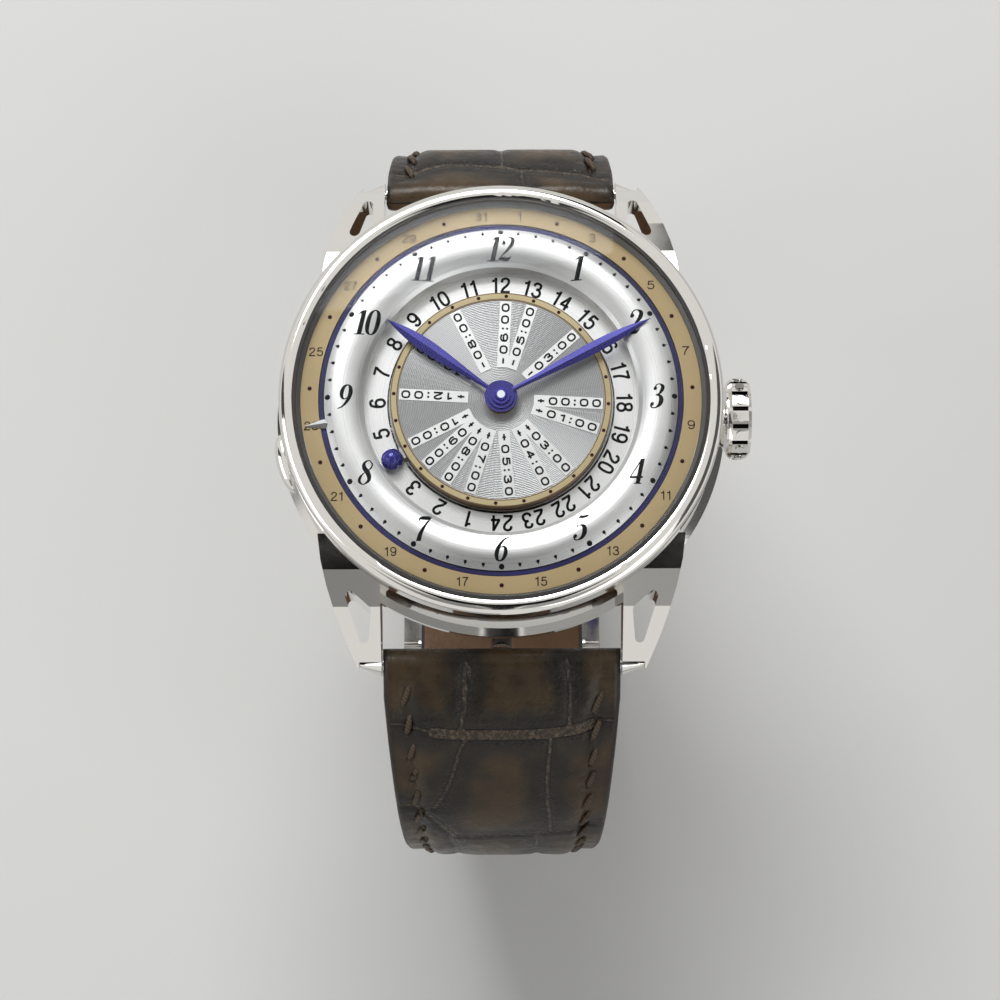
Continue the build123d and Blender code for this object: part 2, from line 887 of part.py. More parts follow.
save(
    hand(hour_deg, hour_reach, hour_hand_w, hour_hand_z, hand_hub_r, hour_pipe_r),
    "hour_hand",
)
save(
    hand(minute_deg, minute_reach, minute_hand_w, minute_hand_z, minute_hub_r, cannon_r),
    "minute_hand",
)

# Stepped cap over the centre
cap_z = minute_hand_z + hand_t
with BuildPart() as hub_cap:
    with BuildSketch(Plane.XY.offset(cap_z)):
        Circle(hub_cap_r)
    extrude(amount=hub_cap_h / 2)
    with BuildSketch(Plane.XY.offset(cap_z + hub_cap_h / 2)):
        Circle(cannon_r)
    extrude(amount=hub_cap_h / 2)
    fillet(edges().group_by(Axis.Z)[-1], hub_cap_h / 4)
save(hub_cap.part, "hub_cap")

# Movement. Its places, seen from the dial side
barrel_at = at(barrel_deg, barrel_dist)
third_at = at(third_deg, third_dist)
fourth_at = (fourth_x, fourth_y)
escape_at = (escape_x, escape_y)
pallet_at = (pallet_x, pallet_y)
balance_at = (balance_x, balance_y)
minute_wheel_at = at(minute_wheel_deg, motion_dist)
crown_wheel_shift = at(crown_wheel_deg, winding_dist)
crown_wheel_at = (barrel_at[0] + crown_wheel_shift[0], barrel_at[1] + crown_wheel_shift[1])
barrel_pillars = [at(deg, pillar_circle_r) for deg in barrel_pillar_degs]
train_pillars = [at(deg, pillar_circle_r) for deg in train_pillar_degs]
cock_pillar = at(cock_deg, pillar_circle_r)
train_pivots = [(0, 0), third_at, fourth_at, escape_at]
plate_top_z = plate_z + plate_h
bridge_top_z = bridge_z + bridge_h

# Ring that holds the movement in the case, open for the stem and the pusher
with BuildPart() as casing_ring:
    with BuildSketch(Plane.XY.offset(casing_ring_z)):
        Circle(case_bore_r - run_gap)
        Circle(movement_r + trim_gap, mode=Mode.SUBTRACT)
    extrude(amount=dial_seat_z - casing_ring_z)
    with BuildSketch(Plane.YZ.offset(movement_r)):
        with Locations((0, crown_z)):
            Circle(stem_r + trim_gap)
    extrude(amount=case_bore_r - movement_r, mode=Mode.SUBTRACT)
    with BuildSketch(pusher_plane.offset(movement_r)):
        Circle(pusher_stem_r + trim_gap)
    extrude(amount=case_bore_r - movement_r, mode=Mode.SUBTRACT)
save(casing_ring.part, "casing_ring")

# Mainplate with its bearing holes, screw holes and the post of the minute wheel
with BuildPart() as mainplate:
    with BuildSketch(Plane.XY.offset(plate_z)):
        Circle(movement_r)
        with Locations((0, 0)):
            Circle(arbor_r + run_gap, mode=Mode.SUBTRACT)
        with Locations(third_at, fourth_at, escape_at, pallet_at, balance_at):
            Circle(pivot_r + run_gap, mode=Mode.SUBTRACT)
        with Locations(barrel_at):
            Circle(barrel_arbor_r + run_gap, mode=Mode.SUBTRACT)
        with Locations(*barrel_pillars, *train_pillars, cock_pillar):
            Circle(screw_shank_r + seat_gap, mode=Mode.SUBTRACT)
    extrude(amount=plate_h)
    with BuildSketch(Plane.XY.offset(plate_top_z)):
        with Locations(minute_wheel_at):
            Circle(minute_post_r)
    extrude(amount=module_plate_z - plate_top_z - trim_gap)
save(mainplate.part, "mainplate")


def bridge(outline, pivots, pillars, bores=()):
    """Bridge of the given plan, with jewel seats, pillars and holes; bores are (place, radius)."""
    with BuildPart() as body:
        with BuildSketch(Plane.XY.offset(bridge_z)):
            add(outline)
        extrude(amount=bridge_h)
        with BuildSketch(Plane.XY.offset(bridge_top_z)):
            with Locations(*pillars):
                Circle(pillar_r)
        extrude(amount=plate_z - bridge_top_z)
        if pivots:
            with BuildSketch(Plane.XY.offset(bridge_z)):
                with Locations(*pivots):
                    Circle(jewel_r)
            extrude(amount=jewel_h, mode=Mode.SUBTRACT)
        holes = [(place, pivot_r + run_gap) for place in pivots] + list(bores)
        holes += [(place, screw_shank_r + seat_gap) for place in pillars]
        for place, hole_r in holes:
            with BuildSketch(Plane.XY.offset(bridge_z)):
                with Locations(place):
                    Circle(hole_r)
            extrude(amount=plate_z - bridge_z, mode=Mode.SUBTRACT)
    return body.part


cock_length = hypot(balance_x - cock_pillar[0], balance_y - cock_pillar[1])
with BuildSketch() as cock_plan:
    with BuildLine() as cock_spine:
        Line(cock_pillar, balance_at)
    with Locations(Plane(origin=cock_spine.line @ 0.5, x_dir=cock_spine.line % 0)):
        SlotCenterToCenter(cock_length, cock_w)

with BuildSketch() as barrel_plan:
    Circle(bridge_r)
    with Locations((0, bridge_split_y - bridge_r)):
        Rectangle(2 * bridge_r, 2 * bridge_r, mode=Mode.SUBTRACT)
    with Locations(balance_at):
        Circle(balance_r + balance_margin, mode=Mode.SUBTRACT)

with BuildSketch() as train_plan:
    Circle(bridge_r)
    with Locations((0, bridge_split_y - bridge_seam + bridge_r)):
        Rectangle(2 * bridge_r, 2 * bridge_r, mode=Mode.SUBTRACT)
    with Locations(balance_at):
        Circle(balance_r + balance_margin, mode=Mode.SUBTRACT)
    with Locations(Plane(origin=cock_spine.line @ 0.5, x_dir=cock_spine.line % 0)):
        SlotCenterToCenter(cock_length, cock_w + 2 * bridge_seam, mode=Mode.SUBTRACT)
    with Locations((cock_pillar[0] - bridge_r, -bridge_r)):
        Rectangle(2 * bridge_r, 2 * bridge_r, mode=Mode.SUBTRACT)

save(
    bridge(
        barrel_plan.sketch,
        [],
        barrel_pillars,
        [(barrel_at, barrel_arbor_r + run_gap), (crown_wheel_at, pivot_r + run_gap)],
    ),
    "barrel_bridge",
)
train_bridge = bridge(train_plan.sketch, train_pivots, train_pillars)
save(Part(train_bridge.solids().sort_by(SortBy.VOLUME)[-1].wrapped), "train_bridge")
save(bridge(cock_plan.sketch, [balance_at], [cock_pillar]), "balance_cock")

# Ruby bearings in the bridges
with BuildPart() as jewels:
    with BuildSketch(Plane.XY.offset(bridge_z)):
        with Locations(*train_pivots, balance_at):
            Circle(jewel_r)
            Circle(pivot_r + run_gap, mode=Mode.SUBTRACT)
    extrude(amount=jewel_h)
save(jewels.part, "jewels")

save(
    slotted_screws(
        barrel_pillars + train_pillars + [cock_pillar], bridge_z, -1, plate_top_z - trim_gap
    ),
    "movement_screws",
)


def gear(place, wheels, rods, bore_r=0.0):
    """Wheels as (teeth, module, phase, low z, height) and rods as (radius, low z, high z)."""
    low_z = min([wheel[3] for wheel in wheels] + [rod[1] for rod in rods])
    high_z = max([wheel[3] + wheel[4] for wheel in wheels] + [rod[2] for rod in rods])
    with BuildPart() as turned:
        for rod_r, rod_low_z, rod_high_z in rods:
            with BuildSketch(Plane.XY.offset(rod_low_z)):
                with Locations(place):
                    Circle(rod_r)
            extrude(amount=rod_high_z - rod_low_z)
        for teeth, module, phase_deg, wheel_z, height in wheels:
            points = gear_points(teeth, module, phase_deg)
            with BuildSketch(Plane.XY.offset(wheel_z)):
                with BuildLine():
                    Polyline(*[(place[0] + x, place[1] + y) for x, y in points], close=True)
                make_face()
            extrude(amount=height)
        if bore_r > 0:
            with BuildSketch(Plane.XY.offset(low_z)):
                with Locations(place):
                    Circle(bore_r)
            extrude(amount=high_z - low_z, mode=Mode.SUBTRACT)
    return turned.part


def mesh_phase(line_deg, teeth):
    """Phase of a wheel whose gap faces a tooth that comes along line_deg."""
    return line_deg + 180 + 180 / teeth


# Going train: the centre wheel's arbor carries the minute hand
pinion_z = barrel_z
barrel_rim_z = barrel_z + run_gap
save(
    gear(
        (0, 0),
        [
            (centre_pinion_teeth, going_module, barrel_deg, pinion_z, pinion_h),
            (centre_wheel_teeth, going_module, third_deg, centre_wheel_z, wheel_t),
        ],
        [
            (pivot_r, bridge_z, plate_z),
            (arbor_r, bridge_top_z + run_gap, minute_hand_z + hand_t),
        ],
    ),
    "centre_wheel",
)
save(
    gear(
        barrel_at,
        [(barrel_teeth, going_module, mesh_phase(barrel_deg, barrel_teeth), barrel_rim_z, wheel_t)],
        [(barrel_drum_r, barrel_rim_z, barrel_z + barrel_drum_h)],
        bore_r=barrel_arbor_r + run_gap,
    ),
    "barrel",
)
third_pinion_z = plate_z - pinion_h - run_gap
third_pinion_phase = mesh_phase(third_deg, third_pinion_teeth)
fourth_line_deg = degrees(atan2(fourth_at[1] - third_at[1], fourth_at[0] - third_at[0]))
fourth_dist = hypot(fourth_at[0] - third_at[0], fourth_at[1] - third_at[1])
fourth_module = 2 * fourth_dist / (third_wheel_teeth + fourth_pinion_teeth)
save(
    gear(
        third_at,
        [
            (third_pinion_teeth, going_module, third_pinion_phase, third_pinion_z, pinion_h),
            (third_wheel_teeth, fourth_module, fourth_line_deg, third_wheel_z, wheel_t),
        ],
        [(pivot_r, bridge_z, plate_top_z), (arbor_r, third_wheel_z, third_pinion_z)],
    ),
    "third_wheel",
)
fourth_wheel_z = third_wheel_z + wheel_t + trim_gap
fourth_pinion_z = third_wheel_z - run_gap
fourth_pinion_phase = mesh_phase(fourth_line_deg, fourth_pinion_teeth)
fourth_pinion_h = fourth_wheel_z - fourth_pinion_z
save(
    gear(
        fourth_at,
        [
            (fourth_pinion_teeth, fourth_module, fourth_pinion_phase, fourth_pinion_z, fourth_pinion_h),
            (fourth_wheel_teeth, slim_module, 0, fourth_wheel_z, wheel_t),
        ],
        [(pivot_r, bridge_z, plate_top_z), (arbor_r, third_wheel_z, plate_z - run_gap)],
    ),
    "fourth_wheel",
)

# Escape wheel with raked teeth
escape_root_r = escape_wheel_r * escape_root_share
escape_points = []
for tooth in range(escape_teeth):
    tooth_deg = tooth * 360 / escape_teeth
    tip_x, tip_y = at(tooth_deg, escape_wheel_r)
    root_x, root_y = at(tooth_deg + 360 / escape_teeth * escape_rake_share, escape_root_r)
    escape_points.append((escape_x + tip_x, escape_y + tip_y))
    escape_points.append((escape_x + root_x, escape_y + root_y))
with BuildPart() as escape_wheel:
    with BuildSketch(Plane.XY.offset(third_wheel_z)):
        with BuildLine():
            Polyline(*escape_points, close=True)
        make_face()
    extrude(amount=wheel_t)
    with BuildSketch(Plane.XY.offset(bridge_z)):
        with Locations(escape_at):
            Circle(pivot_r)
    extrude(amount=plate_top_z - bridge_z)
save(escape_wheel.part, "escape_wheel")

# Pallet fork between the escape wheel and the balance staff
fork_deg = degrees(atan2(balance_y - pallet_y, balance_x - pallet_x))
fork_plane = Plane(
    origin=(pallet_x, pallet_y, third_wheel_z),
    x_dir=at(fork_deg, 1) + (0,),
    z_dir=(0, 0, 1),
)
with BuildPart() as pallet_fork:
    with BuildSketch(fork_plane):
        with Locations((pallet_length / 2, 0)):
            Rectangle(pallet_length, pallet_w)
        Rectangle(pallet_w, pallet_length)
        Circle(pallet_w)
    extrude(amount=pallet_t)
    with BuildSketch(Plane.XY.offset(third_wheel_z)):
        with Locations(pallet_at):
            Circle(pivot_r)
    extrude(amount=plate_top_z - third_wheel_z)
save(pallet_fork.part, "pallet_fork")

# Balance wheel, its staff and hairspring
with BuildPart() as balance_wheel:
    with BuildSketch(Plane.XY.offset(balance_z)):
        with Locations(balance_at):
            Circle(balance_r)
            Circle(balance_r - balance_rim_w, mode=Mode.SUBTRACT)
            Rectangle(2 * balance_r - balance_rim_w, balance_rim_w)
            Rectangle(balance_rim_w, 2 * balance_r - balance_rim_w)
    extrude(amount=balance_h)
    with BuildSketch(Plane.XY.offset(bridge_z)):
        with Locations(balance_at):
            Circle(pivot_r)
    extrude(amount=plate_top_z - bridge_z)
    with BuildSketch(Plane.XY.offset(bridge_top_z + run_gap)):
        with Locations(balance_at):
            Circle(arbor_r)
    extrude(amount=balance_z + balance_h - bridge_top_z - run_gap)
save(balance_wheel.part, "balance_wheel")

spring_steps = hairspring_turns * hairspring_steps_per_turn


def hairspring_place(step, side):
    share = step / spring_steps
    r = hairspring_in_r + share * (hairspring_r - hairspring_in_r) + side * hairspring_t / 2
    x, y = at(share * hairspring_turns * 360, r)
    return (balance_x + x, balance_y + y)


with BuildPart() as hairspring:
    with BuildSketch(Plane.XY.offset(hairspring_z)):
        with BuildLine():
            Spline(*[hairspring_place(step, 1) for step in range(spring_steps + 1)])
            Line(hairspring_place(spring_steps, 1), hairspring_place(spring_steps, -1))
            Spline(*[hairspring_place(step, -1) for step in range(spring_steps, -1, -1)])
            Line(hairspring_place(0, -1), hairspring_place(0, 1))
        make_face()
        with Locations(balance_at):
            Circle(hairspring_in_r)
            Circle(arbor_r + seat_gap, mode=Mode.SUBTRACT)
    extrude(amount=hairspring_h)
save(hairspring.part, "hairspring")

# Winding wheels under the back: the ratchet wheel sits on the barrel's arbor
top_wheel_z = bridge_z - top_wheel_gap - top_wheel_h
save(
    gear(
        barrel_at,
        [(ratchet_teeth, winding_module, crown_wheel_deg, top_wheel_z, top_wheel_h)],
        [(barrel_arbor_r, top_wheel_z, plate_top_z - trim_gap)],
    ),
    "ratchet_wheel",
)
crown_wheel_phase = mesh_phase(crown_wheel_deg, crown_wheel_teeth)
save(
    gear(
        crown_wheel_at,
        [(crown_wheel_teeth, winding_module, crown_wheel_phase, top_wheel_z, top_wheel_h)],
        [(pivot_r, top_wheel_z, bridge_top_z)],
    ),
    "crown_wheel",
)

# Motion work on the dial side
cannon_z = plate_top_z + trim_gap
save(
    gear(
        (0, 0),
        [(cannon_teeth, motion_module, minute_wheel_deg, cannon_z, pinion_h)],
        [(cannon_r, cannon_z, minute_hand_z + hand_t)],
        bore_r=arbor_r + seat_gap / 2,
    ),
    "cannon_pinion",
)
minute_wheel_z = cannon_z + run_gap
hour_wheel_z = minute_wheel_z + wheel_t + pinion_h - run_gap
minute_pinion_z = minute_wheel_z + wheel_t
minute_pinion_h = module_plate_z - 2 * trim_gap - minute_pinion_z
save(
    gear(
        minute_wheel_at,
        [
            (
                minute_wheel_teeth,
                motion_module,
                mesh_phase(minute_wheel_deg, minute_wheel_teeth),
                minute_wheel_z,
                wheel_t,
            ),
            (
                minute_pinion_teeth,
                hour_module,
                minute_wheel_deg + 180,
                minute_pinion_z,
                minute_pinion_h,
            ),
        ],
        [],
        bore_r=minute_post_r + run_gap / 2,
    ),
    "minute_wheel",
)
save(
    gear(
        (0, 0),
        [
            (
                hour_wheel_teeth,
                hour_module,
                mesh_phase(minute_wheel_deg + 180, hour_wheel_teeth),
                hour_wheel_z,
                wheel_t,
            )
        ],
        [(hour_pipe_r, hour_wheel_z - run_gap, hour_hand_z + hand_t)],
        bore_r=hour_pipe_in_r,
    ),
    "hour_wheel",
)

# Plate of the time zone module, and the wheel under the zone disc
with BuildPart() as module_plate:
    with BuildSketch(Plane.XY.offset(module_plate_z)):
        Circle(movement_r)
        Circle(hour_pipe_r + run_gap, mode=Mode.SUBTRACT)
    extrude(amount=module_plate_h)
    with BuildSketch(Plane.XY.offset(plate_top_z)):
        with PolarLocations(pillar_circle_r, module_posts):
            Circle(pillar_r)
    extrude(amount=module_plate_z - plate_top_z)
save(module_plate.part, "module_plate")
save(
    gear(
        (0, 0),
        [(city_wheel_teeth, city_module, 0, city_pipe_z, wheel_t)],
        [(city_pipe_r, city_pipe_z, world_top_z)],
        bore_r=city_pipe_in_r,
    ),
    "city_wheel",
)

# Winding stem with its pinion, and the collar that moves it in and out
with BuildPart() as winding_stem:
    with BuildSketch(Plane.YZ.offset(stem_in_x)):
        with Locations((0, crown_z)):
            Circle(stem_r)
    extrude(amount=crown_in_x + crown_bore_depth - seat_gap - stem_in_x)
    with BuildSketch(Plane.YZ.offset(sliding_pinion_x)):
        with Locations((0, crown_z)):
            Circle(sliding_pinion_r)
    extrude(amount=sliding_pinion_length)
save(winding_stem.part, "winding_stem")

with BuildPart() as setting_collar:
    with BuildSketch(Plane.YZ.offset(setting_collar_x)):
        with Locations((0, crown_z)):
            Circle(sliding_pinion_r)
            Circle(stem_r + run_gap, mode=Mode.SUBTRACT)
    extrude(amount=setting_collar_w)
save(setting_collar.part, "setting_collar")

# Crown: fluted rim with a domed stud on each land
stud_x = crown_in_x + crown_length / 2
flute_step = 360 / crown_flutes
with BuildPart() as crown:
    with BuildSketch(Plane.YZ.offset(crown_in_x)):
        with Locations((0, crown_z)):
            Circle(crown_r)
    extrude(amount=crown_length)
    chamfer(edges().filter_by(GeomType.CIRCLE), crown_rim)
    with BuildSketch(Plane.YZ.offset(crown_in_x - cut_over)):
        with Locations((0, crown_z)):
            with PolarLocations(crown_r, crown_flutes, start_angle=flute_step / 2):
                Rectangle(2 * flute_h, flute_w)
    extrude(amount=crown_length + 2 * cut_over, mode=Mode.SUBTRACT)
    for i in range(crown_flutes):
        stud_y, stud_z = at(i * flute_step, 1)
        stud_plane = Plane(
            origin=(stud_x, 0, crown_z),
            x_dir=(1, 0, 0),
            z_dir=(0, stud_y, stud_z),
        )
        with BuildSketch(stud_plane.offset(crown_r - flute_h)):
            Circle(stud_r)
        extrude(amount=flute_h + stud_rise)
    with BuildSketch(Plane.YZ.offset(crown_in_x - collar_t)):
        with Locations((0, crown_z)):
            Circle(collar_r)
    extrude(amount=collar_t)
    with BuildSketch(Plane.YZ.offset(crown_in_x - collar_t)):
        with Locations((0, crown_z)):
            Circle(stem_r + seat_gap / 2)
    extrude(amount=collar_t + crown_bore_depth, mode=Mode.SUBTRACT)
save(crown.part, "crown")

# Corrector pusher and its return spring, along the radius of the case
cap_in_r = pusher_out_r - pusher_cap_t
with BuildPart() as pusher:
    with BuildSketch(pusher_plane.offset(cap_in_r)):
        SlotOverall(pusher_length, pusher_h)
    extrude(amount=pusher_cap_t)
    fillet(edges().filter_by(GeomType.LINE, reverse=False), pusher_cap_t / 4)
    with BuildSketch(pusher_plane.offset(cap_in_r)):
        Circle(pusher_stem_r)
    extrude(amount=-pusher_stem_length)
save(pusher.part, "pusher")

well_r = waist_r - pusher_well_depth
spring_length = cap_in_r - well_r - 2 * pusher_wire_r - 2 * run_gap
with BuildPart() as pusher_spring:
    with BuildLine() as coil:
        Helix(
            pitch=spring_length / pusher_spring_turns,
            height=spring_length,
            radius=pusher_spring_r,
            center=pusher_plane.offset(well_r + pusher_wire_r + run_gap).origin,
            direction=pusher_plane.z_dir,
        )
    with BuildSketch(Plane(origin=coil.line @ 0, z_dir=coil.line % 0)):
        Circle(pusher_wire_r)
    sweep()
save(pusher_spring.part, "pusher_spring")


# Strap route, seen from the side: a run out of the case, a bend to the plumb line,
# a corner into the circle round the middle of the bars, then that circle.
def leg_route(side, reach_y, exit_deg, exit_run, corner_r, end_deg, tail):
    """Points (y, z) of a strap leg's middle, about strap_station apart."""
    slope = radians(exit_deg)
    bend_r = (reach_y - bar_y - exit_run * cos(slope)) / (1 - sin(slope))
    bend_y = reach_y - bend_r
    bend_z = bar_z - exit_run * sin(slope) - bend_r * cos(slope)
    corner_y = reach_y - corner_r
    corner_z = bar_z - sqrt((loop_r - corner_r) ** 2 - corner_y**2)
    join_deg = degrees(asin(corner_y / (loop_r - corner_r)))
    points = []

    def walk(length, place):
        steps = max(1, round(length / strap_station))
        points.extend(place(i / steps) for i in range(steps))

    walk(
        exit_run,
        lambda t: (bar_y + t * exit_run * cos(slope), bar_z - t * exit_run * sin(slope)),
    )
    bend = pi / 2 - slope
    walk(
        bend_r * bend,
        lambda t: (
            bend_y + bend_r * sin(slope + t * bend),
            bend_z + bend_r * cos(slope + t * bend),
        ),
    )
    walk(bend_z - corner_z, lambda t: (reach_y, bend_z - t * (bend_z - corner_z)))
    turn = pi / 2 - radians(join_deg)
    walk(
        corner_r * turn,
        lambda t: (
            corner_y + corner_r * cos(t * turn),
            corner_z - corner_r * sin(t * turn),
        ),
    )
    sweep_deg = side * end_deg - join_deg

    def round_loop(t):
        deg = join_deg + t * sweep_deg
        r = loop_r + (tail_rise(side * deg) if tail else 0)
        return loop_point(deg, r)

    walk(
        abs(radians(sweep_deg)) * loop_r - tail,
        lambda t: round_loop(t * (1 - tail / (abs(radians(sweep_deg)) * loop_r))),
    )
    points.extend(
        round_loop(1 - (1 - i / tip_stations) * tail / (abs(radians(sweep_deg)) * loop_r))
        for i in range(tip_stations)
        if tail
    )
    points.append(round_loop(1))
    return [(side * y, z) for y, z in points]


def tail_rise(deg):
    """How far the long leg stands outside the loop circle where it passes the buckle."""
    t = (deg - tail_step_from_deg) / (tail_step_to_deg - tail_step_from_deg)
    t = min(1, max(0, t))
    return tail_step * t * t * (3 - 2 * t)


def run_lengths(points):
    lengths = [0]
    for (y0, z0), (y1, z1) in zip(points, points[1:]):
        lengths.append(lengths[-1] + hypot(y1 - y0, z1 - z0))
    return lengths


def strap_width(run):
    t = min(1, max(0, (run - strap_full_length) / (strap_taper_length - strap_full_length)))
    return strap_w - (strap_w - strap_end_w) * (1 - (1 - t) ** taper_power)


def strap_thickness(run):
    if run < strap_swell_length:
        return strap_bar_t + (strap_t - strap_bar_t) * run / strap_swell_length
    t = min(1, (run - strap_swell_length) / (strap_thin_length - strap_swell_length))
    return strap_t + (strap_tail_t - strap_t) * t


def route_planes(points):
    """Plane across the route at each point, with Y out of the loop."""
    planes = []
    for i, (y, z) in enumerate(points):
        y0, z0 = points[max(0, i - 1)]
        y1, z1 = points[min(len(points) - 1, i + 1)]
        planes.append(Plane(origin=(0, y, z), x_dir=(1, 0, 0), z_dir=(0, y1 - y0, z1 - z0)))
    return planes


def strap_leg(points, tip_length):
    """Leather leg: sections across the route, joined by flat faces."""
    runs = run_lengths(points)
    with BuildPart() as leg:
        for plane, run in zip(route_planes(points), runs):
            left = (runs[-1] - run) / tip_length if tip_length else 1
            tip = sqrt(1 - (1 - left) ** 2) if left < 1 else 1
            with BuildSketch(plane):
                Rectangle(
                    strap_width(run) * (tip_end_share + (1 - tip_end_share) * tip),
                    strap_thickness(run),
                )
        loft(ruled=True)
        with BuildSketch(Plane.YZ.offset(-strap_w / 2)):
            with Locations(points[0]):
                Circle(strap_bar_t / 2)
        extrude(amount=strap_w)
        with BuildSketch(Plane.YZ.offset(-strap_w)):
            with Locations(points[0]):
                Circle(bar_r + run_gap)
        extrude(amount=2 * strap_w, mode=Mode.SUBTRACT)
    return leg.part


def loop_plane(deg, r):
    """Plane facing out of the loop, with its Y along the loop."""
    y, z = loop_point(deg, r)
    return Plane(
        origin=(0, y, z),
        x_dir=(1, 0, 0),
        z_dir=(0, y, z - bar_z),
    )


# Short leg of the strap: it ends in a fold round the buckle's hinge bar
hinge_at = loop_point(hinge_deg, loop_r)
short_route = leg_route(
    1, short_reach_y, short_exit_deg, short_exit_run, short_corner_r, hinge_deg, 0
)
with BuildPart() as strap_12:
    add(strap_leg(short_route, 0))
    with BuildSketch(Plane.YZ.offset(-strap_end_w / 2)):
        with Locations(hinge_at):
            Circle(strap_end_r)
    extrude(amount=strap_end_w)
    with BuildSketch(Plane.YZ.offset(-strap_w)):
        with Locations(hinge_at):
            Circle(hinge_bar_r + run_gap)
    extrude(amount=2 * strap_w, mode=Mode.SUBTRACT)
    with BuildSketch(loop_plane(hinge_deg, loop_r)):
        with Locations((0, -strap_end_r)):
            Rectangle(tongue_slot_w, 2 * tongue_slot_length)
    extrude(amount=strap_t, both=True, mode=Mode.SUBTRACT)
save(strap_12.part, "strap_12")

# Long leg: it passes through the buckle and both keepers, with a hole for the tongue
long_route = leg_route(
    -1, long_reach_y, long_exit_deg, long_exit_run, long_corner_r, tail_end_deg, tail_tip_length
)
hole_step_deg = degrees(hole_pitch / (loop_r + tail_step))
with BuildPart() as strap_6:
    add(strap_leg(long_route, tail_tip_length))
    for i in range(-holes_to_case, holes_to_tip + 1):
        hole_deg = used_hole_deg + i * hole_step_deg
        with BuildSketch(loop_plane(hole_deg, loop_r + tail_rise(hole_deg))):
            SlotOverall(hole_length if i else used_hole_length, hole_w, rotation=90)
        extrude(amount=strap_t, both=True, mode=Mode.SUBTRACT)
save(strap_6.part, "strap_6")

# Bar that joins the short leg and the buckle
with BuildPart() as buckle_bar:
    with BuildSketch(Plane.YZ.offset(-frame_in_w / 2 - frame_arm_w)):
        with Locations(hinge_at):
            Circle(hinge_bar_r)
    extrude(amount=frame_in_w + 2 * frame_arm_w)
save(buckle_bar.part, "buckle_bar")

# Buckle frame: two bent arms and the front bar over the long leg
front_r = loop_r + tail_rise(front_bar_deg) + strap_tail_t / 2 + soft_gap + front_bar_r
front_at = loop_point(front_bar_deg, front_r)
arm_places = [
    (hinge_deg, loop_r),
    ((hinge_deg + front_bar_deg) / 2, (loop_r + front_r) / 2),
    (front_bar_deg, front_r),
]
with BuildPart() as buckle_frame:
    for side in (-1, 1):
        with BuildSketch(Plane.YZ.offset(side * frame_in_w / 2)):
            with BuildLine():
                for rise in (-frame_arm_t / 2, frame_arm_t / 2):
                    ThreePointArc(*[loop_point(deg, r + rise) for deg, r in arm_places])
                for deg, r in (arm_places[0], arm_places[-1]):
                    Line(loop_point(deg, r - frame_arm_t / 2), loop_point(deg, r + frame_arm_t / 2))
            make_face()
            with Locations(hinge_at, front_at):
                Circle(frame_arm_t / 2)
            with Locations(hinge_at):
                Circle(hinge_bar_r + seat_gap, mode=Mode.SUBTRACT)
        extrude(amount=side * frame_arm_w)
    with BuildSketch(Plane.YZ.offset(-frame_in_w / 2)):
        with Locations(front_at):
            Circle(front_bar_r)
    extrude(amount=frame_in_w)
save(buckle_frame.part, "buckle_frame")

# Tongue: rolled round the hinge bar, up through the hole and over the front bar
tongue_low_r = loop_r + tongue_wrap_r - tongue_t / 2
tongue_high_r = front_r + front_bar_r + run_gap + tongue_t / 2
tongue_line = [
    loop_point(hinge_deg, tongue_low_r),
    loop_point(tongue_rise_deg, tongue_low_r),
    loop_point(tongue_top_deg, tongue_high_r),
    loop_point(front_bar_deg, tongue_high_r),
    loop_point(tongue_tip_deg, tongue_high_r),
]


def strip_points(line, thickness):
    """Outline of a strip of even thickness along a line of points."""
    left = []
    right = []
    for i, (y, z) in enumerate(line):
        y0, z0 = line[max(0, i - 1)]
        y1, z1 = line[min(len(line) - 1, i + 1)]
        length = hypot(y1 - y0, z1 - z0)
        side_y = -(z1 - z0) / length * thickness / 2
        side_z = (y1 - y0) / length * thickness / 2
        left.append((y + side_y, z + side_z))
        right.append((y - side_y, z - side_z))
    return left + right[::-1]


with BuildPart() as buckle_tongue:
    with BuildSketch(Plane.YZ.offset(-tongue_w / 2)):
        with BuildLine():
            Polyline(*strip_points(tongue_line, tongue_t), close=True)
        make_face()
        with Locations(hinge_at):
            Circle(tongue_wrap_r)
            Circle(hinge_bar_r + run_gap, mode=Mode.SUBTRACT)
    extrude(amount=tongue_w)
save(buckle_tongue.part, "buckle_tongue")


# Keepers: the fixed one by the buckle and the loose one near the tip
def keeper(deg):
    low_r = loop_r - strap_tail_t / 2 - soft_gap
    high_r = loop_r + tail_step + strap_tail_t / 2 + soft_gap
    inner_w = strap_end_w + 2 * soft_gap
    with BuildPart() as band:
        with BuildSketch(loop_plane(deg, low_r - keeper_t)):
            Rectangle(inner_w + 2 * keeper_t, keeper_w)
        extrude(amount=high_r - low_r + 2 * keeper_t)
        fillet(edges().filter_by(Axis.X, reverse=True).group_by(SortBy.LENGTH)[-1], keeper_round)
        with BuildSketch(loop_plane(deg, low_r)):
            Rectangle(inner_w, keeper_w + cut_over)
        extrude(amount=high_r - low_r, mode=Mode.SUBTRACT)
    return band.part


save(keeper(fixed_keeper_deg), "fixed_keeper")
save(keeper(loose_keeper_deg), "loose_keeper")
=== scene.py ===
import math
import random

import bmesh
import bpy
import numpy as np
from mathutils import Matrix, Vector
from mathutils.bvhtree import BVHTree


